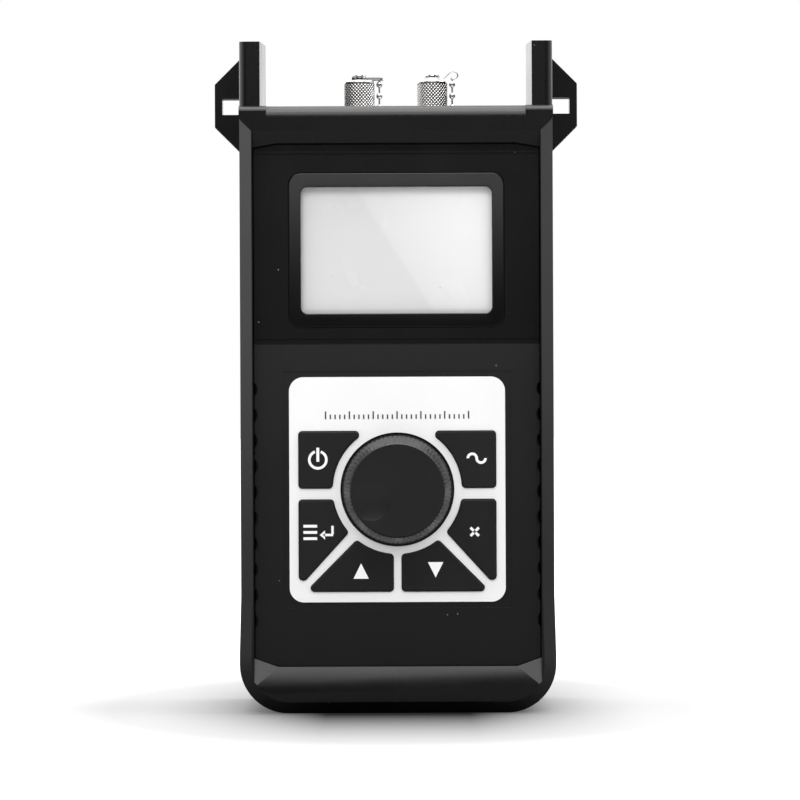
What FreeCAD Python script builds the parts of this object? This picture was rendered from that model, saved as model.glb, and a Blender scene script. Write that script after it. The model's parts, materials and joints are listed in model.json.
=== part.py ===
import FreeCAD
import Part
import Sketcher
import math
import os

from FreeCAD import Rotation, Vector

# Handheld variable optical attenuator in a rubber boot.
# Millimetres. X to the right, Y from the keypad towards the back, Z up.
# The instrument stands on the flat bottom of its boot, at Z = 0.

SIZES = {
    # housing
    "case_width": 87.4,
    "case_height": 174.8,
    "front_depth": 18.0,
    "rear_depth": 22.5,
    "face_wall": 3.0,
    "case_wall": 2.5,
    "case_corner": 3.0,
    "face_step_tall": 8.8,
    "face_step_deep": 1.8,
    "face_line_drop": 0.6,
    "face_line_tall": 0.9,
    "face_line_deep": 0.6,
    "surround_out": 1.8,
    "surround_deep": 0.3,
    "groove_drop": 4.2,
    "groove_tall": 1.5,
    "groove_deep": 0.6,
    "scallop_pitch": 7.87,
    "scallop_first_z": 28.5,
    "scallop_count": 10,
    "scallop_half_tall": 2.0,
    "scallop_deep": 1.0,
    "scallop_run": 5.0,
    "case_screw_sink": 4.0,
    "top_opening": 7.6,
    # boot
    "boot_side_wall": 4.1,
    "boot_base": 6.0,
    "boot_back_wall": 3.0,
    "boot_rim": 4.0,
    "boot_gap": 0.2,
    "boot_flare": 0.5,
    "flare_low": 18.0,
    "flare_high": 36.0,
    "boot_corner": 15.0,
    "boot_bevel": 3.8,
    "strip_drop": 7.8,
    "boot_back_edge": 3.0,
    "window_bottom": 14.4,
    "window_drop": 6.4,
    "window_corner_wide": 7.4,
    "window_corner_top": 1.2,
    "window_corner_bottom": 2.5,
    "window_slope_top": 3.6,
    "window_slope_bottom": 5.4,
    "window_slope_deep": 3.0,
    "lip_rise": 5.0,
    "lip_hook": 2.5,
    "lip_round": 1.9,
    "horn_thick": 6.4,
    "horn_rise": 23.4,
    "horn_drop": 3.7,
    "horn_depth": 41.0,
    "horn_inset": 2.0,
    "horn_round": 2.6,
    "ear_out": 9.6,
    "ear_thick": 5.0,
    "ear_drop": 3.2,
    "ear_rise": 10.4,
    "ear_bite": 1.0,
    "ear_rim": 2.4,
    "ear_root": 0.6,
    "slot_rise": 0.8,
    "slot_tall": 5.1,
    # display
    "lens_side_margin": 3.6,
    "lens_end_margin": 4.15,
    "lens_thick": 1.5,
    "lens_corner": 3.7,
    "lens_drop": 39.15,
    "screen_width": 58.8,
    "screen_height": 39.0,
    "screen_corner": 2.0,
    "lcd_rim": 2.2,
    "lcd_thick": 3.3,
    "lcd_frame_wall": 1.6,
    # keypad
    "panel_width": 66.2,
    "panel_height": 69.0,
    "panel_thick": 2.1,
    "panel_proud": 0.3,
    "panel_corner": 4.4,
    "key_proud": 1.0,
    "key_body": 2.3,
    "key_travel": 0.6,
    "key_corner": 1.0,
    "key_edge": 0.35,
    "key_gap": 0.25,
    "key_outer": 30.1,
    "key_top": 17.75,
    "key_top_inner": 11.9,
    "key_row": 0.55,
    "key_row_gap": 3.75,
    "key_ring": 20.0,
    "menu_foot_x": 28.3,
    "menu_foot_z": 27.6,
    "menu_ring_x": 15.1,
    "menu_ring_z": 13.1,
    "arrow_foot_x": 27.9,
    "arrow_foot_z": 31.1,
    "arrow_ring_x": 12.6,
    "arrow_ring_z": 15.7,
    "arrow_inner": 1.4,
    "stem_radius": 2.2,
    "stem_bite": 0.5,
    "upper_stem_out": 3.0,
    "middle_stem_in": 5.0,
    "middle_stem_drop": 10.0,
    "arrow_stem_out": 9.6,
    "arrow_stem_rise": 5.0,
    "mat_thick": 1.2,
    # knob and encoder
    "knob_z": 68.5,
    "knob_radius": 16.9,
    "knob_top_radius": 14.6,
    "knob_proud": 8.5,
    "knob_skirt": 1.6,
    "knob_hole": 17.45,
    "knob_edge": 0.8,
    "knob_roof": 2.5,
    "dimple_x": 8.2,
    "dimple_z": 3.5,
    "dimple_radius": 5.8,
    "dimple_deep": 1.3,
    "shaft_radius": 3.0,
    "bush_radius": 4.5,
    "bush_proud": 3.6,
    "encoder_side": 13.0,
    "encoder_deep": 6.0,
    "encoder_floor": 1.0,
    "nut_thick": 2.0,
    "nut_across": 11.0,
    # boards and optics
    "board_thick": 1.6,
    "board_low": 17.0,
    "board_edge": 2.4,
    "module_width": 50.0,
    "module_height": 42.0,
    "module_low": 92.0,
    "module_screw_in": 4.0,
    "module_bevel": 1.5,
    "fibre_radius": 0.45,
    "fibre_bite": 4.0,
    # connectors
    "port_x": 11.4,
    "port_back": 19.0,
    "plate_width": 68.0,
    "plate_depth": 22.0,
    "plate_thick": 2.0,
    "plate_corner": 2.0,
    "plate_screw_x": 30.0,
    "plate_screw_y": 7.5,
    "anchor_out": 8.4,
    "thread_radius": 4.0,
    "thread_long": 8.2,
    "thread_wall": 0.8,
    "flange_radius": 4.8,
    "flange_thick": 2.0,
    "adapter_tail": 10.0,
    "adapter_nut_across": 11.0,
    "adapter_nut_thick": 2.2,
    "sleeve_radius": 1.6,
    "ferrule_radius": 1.25,
    "ferrule_long": 5.5,
    "sleeve_play": 0.02,
    "plug_radius": 3.0,
    "plug_long": 9.0,
    "plug_tail": 8.0,
    "plug_tail_radius": 1.0,
    "plug_shoulder": 2.1,
    "cap_radius": 4.8,
    "cap_tall": 10.5,
    "cap_roof": 2.0,
    "cap_bevel": 0.5,
    "knurl_count": 24,
    "knurl_deep": 0.3,
    "knurl_half_wide": 0.36,
    "knurl_end": 1.0,
    "cap_pin_radius": 1.1,
    "rivet_radius": 2.4,
    "rivet_thick": 0.9,
    "tab_thick": 0.8,
    "tab_gap": 0.25,
    "tab_half": 1.3,
    "tab_corner": 1.04,
    "bead_radius": 1.15,
    "bead_pitch": 3.6,
    "chain_turn": 2.16,
    "link_radius": 0.35,
    # battery bay
    "cell_radius": 7.25,
    "cell_long": 50.5,
    "cell_pitch": 15.0,
    "cell_count": 3,
    "bay_low": 26.5,
    "bay_end": 1.6,
    "bay_side": 0.5,
    "bay_wall": 1.8,
    "door_thick": 2.0,
    "door_ledge": 2.6,
    "door_window": 2.0,
    "finger_drop": 6.0,
    "finger_wide": 16.0,
    "finger_tall": 5.0,
    "finger_deep": 0.8,
    "cell_nub_radius": 2.75,
    "cell_nub": 1.0,
    "contact_thick": 0.4,
    "contact_side": 9.0,
    # fasteners
    "case_screw_side": 5.2,
    "case_screw_end": 6.8,
    "case_screw_radius": 1.5,
    "case_screw_head": 2.6,
    "boss_wall": 1.7,
    "case_screw_bite": 8.0,
    "case_head_thick": 2.0,
    "board_screw_in": 5.0,
    "board_screw_up": 7.0,
    "small_screw_radius": 1.0,
    "small_screw_head": 1.9,
    "small_head_thick": 1.2,
    "socket_share": 0.5,
    "board_screw_bite": 4.0,
    "seat_wall": 1.2,
    "plate_screw_past": 1.0,
    # fits
    "snug": 0.2,
    "free": 0.3,
    "running": 0.05,
}

DOC = FreeCAD.newDocument("Attenuator")
SHEET = DOC.addObject("Spreadsheet::Sheet", "Sizes")
for row, (alias, number) in enumerate(SIZES.items(), start=1):
    SHEET.set(f"A{row}", alias)
    SHEET.set(f"B{row}", str(number))
    SHEET.setAlias(f"B{row}", alias)
DOC.recompute()


class Size:
    """A length with its value in millimetres and the sheet expression that gives it."""

    def __init__(self, value, text):
        self.value = float(value)
        self.text = text

    def joined(self, other, sign, value):
        return Size(value, f"({self.text} {sign} {as_size(other).text})")

    def __add__(self, other):
        return self.joined(other, "+", self.value + as_size(other).value)

    def __radd__(self, other):
        return as_size(other) + self

    def __sub__(self, other):
        return self.joined(other, "-", self.value - as_size(other).value)

    def __rsub__(self, other):
        return as_size(other) - self

    def __mul__(self, other):
        return self.joined(other, "*", self.value * as_size(other).value)

    def __rmul__(self, other):
        return as_size(other) * self

    def __truediv__(self, other):
        return self.joined(other, "/", self.value / as_size(other).value)

    def __neg__(self):
        return Size(-self.value, f"(-1 * {self.text})")


def as_size(number):
    """Take a Size as it is, and a bare number as a Size of its own."""
    return number if isinstance(number, Size) else Size(number, f"({number})")


def size(alias):
    """The named length of the sheet."""
    return Size(SHEET.get(alias), f"Sizes.{alias}")


ZERO = as_size(0)

# Levels that many pieces share.
TOTAL_DEPTH = (
    size("knob_proud") + size("front_depth") + size("rear_depth")
    + size("boot_gap") + size("boot_back_wall")
)
FACE_Y = size("knob_proud") - TOTAL_DEPTH / 2
SPLIT_Y = FACE_Y + size("front_depth")
CASE_BACK_Y = SPLIT_Y + size("rear_depth")
BOOT_FRONT_Y = FACE_Y - size("boot_rim")
BOOT_BACK_Y = CASE_BACK_Y + size("boot_gap") + size("boot_back_wall")
CASE_LOW_Z = size("boot_base") + size("boot_gap")
CASE_TOP_Z = CASE_LOW_Z + size("case_height")
CASE_HALF = size("case_width") / 2
CAVITY_HALF = CASE_HALF + size("boot_gap")
BOOT_HALF = CAVITY_HALF + size("boot_side_wall")
PANEL_FRONT_Y = FACE_Y - size("panel_proud")
PANEL_BACK_Y = PANEL_FRONT_Y + size("panel_thick")
INNER_FACE_Y = FACE_Y + size("face_wall")
BOARD_Y = INNER_FACE_Y + size("encoder_deep")
BOARD_BACK_Y = BOARD_Y + size("board_thick")
PORT_Y = FACE_Y + size("port_back")
LIP_TOP_Z = CASE_TOP_Z + size("lip_rise")
HORN_TOP_Z = LIP_TOP_Z + size("horn_rise")
LENS_Z = CASE_TOP_Z - size("lens_drop")
LENS_WIDTH = size("screen_width") + 2 * size("lens_side_margin")
LENS_HEIGHT = size("screen_height") + 2 * size("lens_end_margin")
LCD_HALF_X = size("screen_width") / 2 + size("lcd_rim")
LCD_HALF_Z = size("screen_height") / 2 + size("lcd_rim")
LCD_FRAME_RIM = size("snug") + size("lcd_frame_wall")
POST_RADIUS = size("case_screw_radius") + size("boss_wall")
SEAT_RADIUS = size("small_screw_radius") + size("seat_wall")
CASE_SCREW_X = CASE_HALF - size("case_screw_side")
BOARD_HALF = CASE_SCREW_X - POST_RADIUS - size("free")
BOARD_SCREW_HIGH_Z = LENS_Z + LCD_HALF_Z + LCD_FRAME_RIM + size("free") + SEAT_RADIUS
BOARD_HIGH_Z = BOARD_SCREW_HIGH_Z + size("board_edge")
PLATE_TOP_Z = CASE_TOP_Z + size("plate_thick")
FLANGE_TOP_Z = PLATE_TOP_Z + size("flange_thick")
THREAD_TOP_Z = FLANGE_TOP_Z + size("thread_long")
CAP_LOW_Z = FLANGE_TOP_Z + size("free")
CAP_TOP_Z = CAP_LOW_Z + size("cap_tall")
DOOR_OUT_Y = CASE_BACK_Y
DOOR_IN_Y = CASE_BACK_Y - size("door_thick")
CELL_Y = DOOR_IN_Y - size("free") - size("cell_radius")
BAY_FLOOR_Y = CELL_Y - size("cell_radius") - size("free")
BAY_HIGH_Z = size("bay_low") + size("cell_long") + 2 * size("bay_end")
BAY_HALF = (
    size("cell_pitch") * (size("cell_count") - 1) / 2 + size("cell_radius") + size("bay_side")
)
DOOR_HALF = BAY_HALF + size("door_ledge")
DOOR_LOW_Z = size("bay_low") - size("door_ledge")
DOOR_HIGH_Z = BAY_HIGH_Z + size("door_ledge")


NODES = []


def named(feature, label):
    """Give a sub-part its name, and list it among the pieces to write."""
    feature.Label = label
    NODES.append(feature)
    return feature


def new_body(label):
    """A body whose label is the sub-part's name."""
    internal = "".join(word.capitalize() for word in label.split("_"))
    return named(DOC.addObject("PartDesign::Body", internal), label)


# How each view's sketch lies: the origin plane, and the sign of its normal along the depth axis.
VIEWS = {"front": ("XZ_Plane", -1), "side": ("YZ_Plane", 1), "top": ("XY_Plane", 1)}


def new_sketch(body, view, depth=ZERO, across=ZERO, up=ZERO):
    """A sketch in a view of the body, at a depth along the view's axis, its origin shifted."""
    role, sign = VIEWS[view]
    plane = next(f for f in body.Origin.OriginFeatures if f.Role == role)
    sketch = body.newObject("Sketcher::SketchObject", "Sketch")
    sketch.AttachmentSupport = [(plane, "")]
    sketch.MapMode = "FlatFace"
    for axis, shift in (("x", across), ("y", up), ("z", sign * depth)):
        sketch.setExpression(f"AttachmentOffset.Base.{axis}", shift.text)
    return sketch


def hold_point(sketch, geometry, vertex, x, y):
    """Tie a sketch point to its two coordinates."""
    for kind, place in (("DistanceX", x), ("DistanceY", y)):
        rule = Sketcher.Constraint(kind, -1, 1, geometry, vertex, place.value)
        sketch.setExpression(f"Constraints[{sketch.addConstraint(rule)}]", place.text)


def draw_loop(sketch, points):
    """A closed loop of straight edges through the points."""
    corners = [(as_size(x), as_size(y)) for x, y in points]
    ends = [Vector(x.value, y.value, 0) for x, y in corners]
    first = sketch.GeometryCount
    for start, end in zip(ends, ends[1:] + ends[:1]):
        sketch.addGeometry(Part.LineSegment(start, end), False)
    for step, (x, y) in enumerate(corners):
        following = first + (step + 1) % len(corners)
        sketch.addConstraint(Sketcher.Constraint("Coincident", first + step, 2, following, 1))
        hold_point(sketch, first + step, 1, x, y)


def draw_box(sketch, low_x, high_x, low_y, high_y):
    """A rectangle between two corners."""
    draw_loop(sketch, [(low_x, low_y), (high_x, low_y), (high_x, high_y), (low_x, high_y)])


def draw_circle(sketch, x, y, radius):
    """A circle tied to its centre and radius."""
    x, y, radius = as_size(x), as_size(y), as_size(radius)
    centre = Vector(x.value, y.value, 0)
    circle = sketch.addGeometry(Part.Circle(centre, Vector(0, 0, 1), radius.value), False)
    hold_point(sketch, circle, 3, x, y)
    rule = Sketcher.Constraint("Radius", circle, radius.value)
    sketch.setExpression(f"Constraints[{sketch.addConstraint(rule)}]", radius.text)


def draw_half_disc(sketch, centre_x, radius):
    """A half disc above the sketch's horizontal axis, closed along that axis."""
    centre = Vector(centre_x.value, 0, 0)
    circle = Part.Circle(centre, Vector(0, 0, 1), radius.value)
    arc = sketch.addGeometry(Part.ArcOfCircle(circle, 0, math.pi), False)
    right = centre + Vector(radius.value, 0, 0)
    left = centre - Vector(radius.value, 0, 0)
    line = sketch.addGeometry(Part.LineSegment(left, right), False)
    sketch.addConstraint(Sketcher.Constraint("Coincident", arc, 2, line, 1))
    sketch.addConstraint(Sketcher.Constraint("Coincident", line, 2, arc, 1))
    sketch.addConstraint(Sketcher.Constraint("Horizontal", line))
    hold_point(sketch, arc, 3, centre_x, ZERO)
    rule = Sketcher.Constraint("Radius", arc, radius.value)
    sketch.setExpression(f"Constraints[{sketch.addConstraint(rule)}]", radius.text)
    sketch.addConstraint(Sketcher.Constraint("PointOnObject", arc, 3, line))


def draw_rounded_box(sketch, middle_x, middle_y, width, height, corner):
    """A rectangle about a middle point, with equal round corners."""
    side_x = width / 2
    side_y = height / 2
    lines = []
    turns = [(1, -1), (1, 1), (-1, 1), (-1, -1)]
    spots = []
    for sx, sy in turns:
        tip_x = middle_x + sx * side_x
        tip_y = middle_y + sy * side_y
        before = (tip_x - sx * corner, tip_y) if sx == -sy else (tip_x, tip_y - sy * corner)
        after = (tip_x, tip_y - sy * corner) if sx == -sy else (tip_x - sx * corner, tip_y)
        centre = (tip_x - sx * corner, tip_y - sy * corner)
        spots.append((before, after, centre))
    arcs = []
    for before, after, centre in spots:
        middle = Vector(centre[0].value, centre[1].value, 0)
        start = Vector(before[0].value, before[1].value, 0) - middle
        circle = Part.Circle(middle, Vector(0, 0, 1), corner.value)
        angle = math.atan2(start.y, start.x)
        arcs.append(sketch.addGeometry(Part.ArcOfCircle(circle, angle, angle + math.pi / 2), False))
    for step in range(len(spots)):
        after = spots[step][1]
        ahead = spots[(step + 1) % len(spots)][0]
        start = Vector(after[0].value, after[1].value, 0)
        end = Vector(ahead[0].value, ahead[1].value, 0)
        lines.append(sketch.addGeometry(Part.LineSegment(start, end), False))
    for step in range(len(spots)):
        following = arcs[(step + 1) % len(arcs)]
        sketch.addConstraint(Sketcher.Constraint("Coincident", arcs[step], 2, lines[step], 1))
        sketch.addConstraint(Sketcher.Constraint("Coincident", lines[step], 2, following, 1))
        hold_point(sketch, lines[step], 1, *spots[step][1])
        hold_point(sketch, lines[step], 2, *spots[(step + 1) % len(spots)][0])
        rule = Sketcher.Constraint("Radius", arcs[step], corner.value)
        sketch.setExpression(f"Constraints[{sketch.addConstraint(rule)}]", corner.text)


def pad(body, sketch, length, back=False, both=False):
    """Add the sketch's area along its normal, or behind it, or half each way."""
    feature = body.newObject("PartDesign::Pad", "Pad")
    feature.Profile = sketch
    feature.setExpression("Length", as_size(length).text)
    feature.Reversed = back
    feature.Midplane = both
    return feature


def pocket(body, sketch, length, back=False, both=False):
    """Cut the sketch's area behind it, or along its normal, or half each way."""
    feature = body.newObject("PartDesign::Pocket", "Pocket")
    feature.Profile = sketch
    feature.setExpression("Length", as_size(length).text)
    feature.Reversed = back
    feature.Midplane = both
    return feature


def revolve(body, sketch, axis="H_Axis", cut=False):
    """Turn the sketch about its own axis, to add or to cut."""
    kind = "Groove" if cut else "Revolution"
    feature = body.newObject(f"PartDesign::{kind}", kind)
    feature.Profile = sketch
    feature.ReferenceAxis = (sketch, [axis])
    feature.Angle = 360
    return feature


def edges_where(body, choose):
    """The names of the body's present edges that the choose function accepts."""
    DOC.recompute()
    edges = enumerate(body.Tip.Shape.Edges, start=1)
    return [f"Edge{number}" for number, edge in edges if choose(edge)]


def round_edges(body, radius, choose):
    """Fillet the chosen edges."""
    names = edges_where(body, choose)
    base = body.Tip
    feature = body.newObject("PartDesign::Fillet", "Fillet")
    feature.Base = (base, names)
    feature.setExpression("Radius", radius.text)


def bevel_edges(body, width, choose):
    """Chamfer the chosen edges by equal widths."""
    names = edges_where(body, choose)
    base = body.Tip
    feature = body.newObject("PartDesign::Chamfer", "Chamfer")
    feature.Base = (base, names)
    feature.setExpression("Size", width.text)


def runs_along(edge, axis):
    """Whether a straight edge lies along an axis of the frame."""
    if not isinstance(edge.Curve, Part.Line):
        return False
    return abs(abs(edge.Curve.Direction.dot(axis)) - 1) < 1e-6


def near(value, level):
    """Whether a coordinate lies on a level."""
    return abs(value - as_size(level).value) < 1e-4


ALONG_X = Vector(1, 0, 0)
ALONG_Y = Vector(0, 1, 0)
ALONG_Z = Vector(0, 0, 1)


def place_at(feature, x, y, z, rotation=None):
    """Bind a primitive's place to the sheet, after turning it."""
    if rotation:
        feature.Placement.Rotation = rotation
    for axis, shift in (("x", x), ("y", y), ("z", z)):
        feature.setExpression(f"Placement.Base.{axis}", as_size(shift).text)


def cylinder(radius, height, x, y, z, rotation=None):
    """A round primitive from its base point."""
    feature = DOC.addObject("Part::Cylinder", "Cylinder")
    feature.setExpression("Radius", as_size(radius).text)
    feature.setExpression("Height", as_size(height).text)
    place_at(feature, x, y, z, rotation)
    return feature


def block(width, depth, height, x, y, z):
    """A box primitive about a middle in X and Y, from its base in Z."""
    feature = DOC.addObject("Part::Box", "Block")
    for name, length in (("Length", width), ("Width", depth), ("Height", height)):
        feature.setExpression(name, as_size(length).text)
    place_at(feature, x - as_size(width) / 2, y - as_size(depth) / 2, z)
    return feature


def fused(shapes):
    """One solid of several."""
    feature = DOC.addObject("Part::MultiFuse", "Fused")
    feature.Shapes = shapes
    return feature


def cut(base, tool):
    """The base less the tool."""
    feature = DOC.addObject("Part::Cut", "Cut")
    feature.Base = base
    feature.Tool = tool
    return feature


def grouped(shapes):
    """Like pieces kept apart in one sub-part."""
    feature = DOC.addObject("Part::Compound", "Group")
    feature.Links = shapes
    return feature


# How far a cutting sketch reaches past the solid that it cuts.
PAST = as_size(1)


def make_rubber_boot():
    """The boot: a deep tray with a rim, two horns above it and a strap ear behind each horn."""
    body = new_body("rubber_boot")
    foot = BOOT_HALF + size("boot_flare")
    depth = BOOT_BACK_Y - BOOT_FRONT_Y
    strip_end = LIP_TOP_Z - size("strip_drop")
    mitre_top = strip_end + size("boot_bevel")
    tray = new_sketch(body, "front", BOOT_BACK_Y)
    right = [
        (foot, ZERO),
        (foot, size("flare_low")),
        (BOOT_HALF, size("flare_high")),
        (BOOT_HALF, mitre_top),
    ]
    draw_loop(tray, right + [(-x, z) for x, z in reversed(right)])
    pad(body, tray, depth)
    round_edges(
        body, size("boot_corner"),
        lambda edge: runs_along(edge, ALONG_Y) and near(edge.CenterOfMass.z, 0),
    )

    def is_outer(edge, level):
        middle = edge.CenterOfMass
        beside = abs(middle.x) > BOOT_HALF.value - 1e-3
        below = middle.z < size("flare_low").value
        return near(middle.y, level) and (beside or below)

    bevel_edges(body, size("boot_bevel"), lambda edge: is_outer(edge, BOOT_FRONT_Y))
    head = new_sketch(body, "front", BOOT_BACK_Y)
    horn_in = BOOT_HALF - size("horn_thick")
    draw_loop(head, [
        (BOOT_HALF, mitre_top),
        (BOOT_HALF, HORN_TOP_Z),
        (horn_in, HORN_TOP_Z),
        (horn_in, LIP_TOP_Z),
        (-horn_in, LIP_TOP_Z),
        (-horn_in, HORN_TOP_Z),
        (-BOOT_HALF, HORN_TOP_Z),
        (-BOOT_HALF, mitre_top),
    ])
    pad(body, head, depth)
    round_edges(body, size("boot_back_edge"), lambda edge: is_outer(edge, BOOT_BACK_Y))
    mitres = new_sketch(body, "front", BOOT_FRONT_Y + size("boot_bevel"))
    for side in (1, -1):
        draw_loop(mitres, [
            (side * (BOOT_HALF - size("boot_bevel")), strip_end),
            (side * (BOOT_HALF - size("boot_bevel")), mitre_top),
            (side * BOOT_HALF, mitre_top),
        ])
    pad(body, mitres, size("boot_bevel"))
    shape_horns(body, horn_in)
    cavity = new_sketch(body, "front", FACE_Y - size("boot_gap"))
    draw_box(
        cavity, -CAVITY_HALF, CAVITY_HALF, size("boot_base"), CASE_TOP_Z + size("boot_gap")
    )
    pocket(body, cavity, CASE_BACK_Y - FACE_Y + 2 * size("boot_gap"))
    cut_front_window(body)
    well = new_sketch(body, "top", LIP_TOP_Z)
    draw_box(well, -horn_in, horn_in, FACE_Y + size("lip_hook"), CASE_BACK_Y + size("boot_gap"))
    pocket(body, well, LIP_TOP_Z - CASE_TOP_Z)
    back_window = new_sketch(body, "front", BOOT_BACK_Y)
    margin = size("door_window")
    half = DOOR_HALF + margin
    draw_box(back_window, -half, half, DOOR_LOW_Z - margin, DOOR_HIGH_Z + margin)
    pocket(body, back_window, size("boot_back_wall") + size("boot_gap"), back=True)
    add_strap_ears(body)


def shape_horns(body, horn_in):
    """Set the horns back from the lip, slope their tops and round their outer front edges."""
    horn_front = BOOT_FRONT_Y + size("horn_inset")
    horn_back = BOOT_FRONT_Y + size("horn_depth")
    high = HORN_TOP_Z + PAST
    wide = 2 * (BOOT_HALF + PAST)
    rear_cut = new_sketch(body, "side")
    draw_box(rear_cut, horn_back, BOOT_BACK_Y + PAST, LIP_TOP_Z, high)
    pocket(body, rear_cut, wide, both=True)
    slope = new_sketch(body, "side")
    draw_loop(slope, [
        (BOOT_FRONT_Y - PAST, LIP_TOP_Z),
        (horn_front, LIP_TOP_Z),
        (horn_front, HORN_TOP_Z - size("horn_drop")),
        (horn_back, HORN_TOP_Z),
        (horn_back, high),
        (BOOT_FRONT_Y - PAST, high),
    ])
    pocket(body, slope, wide, both=True)
    round_edges(
        body, size("horn_round"),
        lambda edge: runs_along(edge, ALONG_Z) and near(edge.CenterOfMass.y, horn_front)
        and near(abs(edge.CenterOfMass.x), BOOT_HALF),
    )
    round_edges(
        body, size("lip_round"),
        lambda edge: runs_along(edge, ALONG_X) and near(edge.CenterOfMass.z, LIP_TOP_Z)
        and near(edge.CenterOfMass.y, BOOT_FRONT_Y),
    )


def cut_front_window(body):
    """The opening over the face: slanted corners, and a slope along its top and bottom."""
    window = new_sketch(body, "front", BOOT_FRONT_Y)
    corner = CAVITY_HALF - size("window_corner_wide")
    low = size("window_bottom")
    high = CASE_TOP_Z - size("window_drop")
    low_end = low + size("window_corner_bottom")
    high_end = high - size("window_corner_top")
    right = [(corner, low), (CAVITY_HALF, low_end), (CAVITY_HALF, high_end), (corner, high)]
    draw_loop(window, right + [(-x, z) for x, z in reversed(right)])
    pocket(body, window, size("boot_rim"))
    inner = BOOT_FRONT_Y + size("window_slope_deep")
    for level, edge in (
        (low_end, low - size("window_slope_bottom")),
        (high_end, high + size("window_slope_top")),
    ):
        slope = new_sketch(body, "side")
        draw_loop(slope, [(BOOT_FRONT_Y, level), (inner, level), (BOOT_FRONT_Y, edge)])
        pocket(body, slope, 2 * CAVITY_HALF, both=True)


def add_strap_ears(body):
    """The ear behind each horn, with the slot that a neck strap goes through."""
    ears = new_sketch(body, "front", BOOT_FRONT_Y + size("horn_depth"))
    root = BOOT_HALF - size("ear_bite")
    tip = BOOT_HALF + size("ear_out")
    low = LIP_TOP_Z - size("ear_drop")
    high = LIP_TOP_Z + size("ear_rise")
    slot_low = LIP_TOP_Z + size("slot_rise")
    slot_high = slot_low + size("slot_tall")
    for side in (1, -1):
        draw_loop(ears, [
            (side * root, low - (tip - root)),
            (side * tip, low),
            (side * tip, high),
            (side * root, high + (tip - root)),
        ])
        draw_box(
            ears, side * (BOOT_HALF + size("ear_root")), side * (tip - size("ear_rim")),
            slot_low, slot_high,
        )
    pad(body, ears, size("ear_thick"))


CASE_SCREWS = [
    (side * CASE_SCREW_X, level)
    for side in (-1, 1)
    for level in (CASE_LOW_Z + size("case_screw_end"), CASE_TOP_Z - size("case_screw_end"))
]
BOARD_SCREWS = [
    (side * (BOARD_HALF - size("board_screw_in")), level)
    for side in (-1, 1)
    for level in (size("board_low") + size("board_screw_up"), BOARD_SCREW_HIGH_Z)
]
PLATE_SCREWS = [
    (side * size("plate_screw_x"), PORT_Y + way * size("plate_screw_y"))
    for side in (-1, 1)
    for way in (-1, 1)
]


def open_case_top(body):
    """The opening under the end plate, and the holes for the plate's screws."""
    opening = new_sketch(body, "top", CASE_TOP_Z)
    half = size("port_x") + size("top_opening")
    draw_box(opening, -half, half, PORT_Y - size("top_opening"), PORT_Y + size("top_opening"))
    for x, y in PLATE_SCREWS:
        draw_circle(opening, x, y, size("small_screw_radius") + size("running"))
    pocket(body, opening, size("case_wall"))


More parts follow.
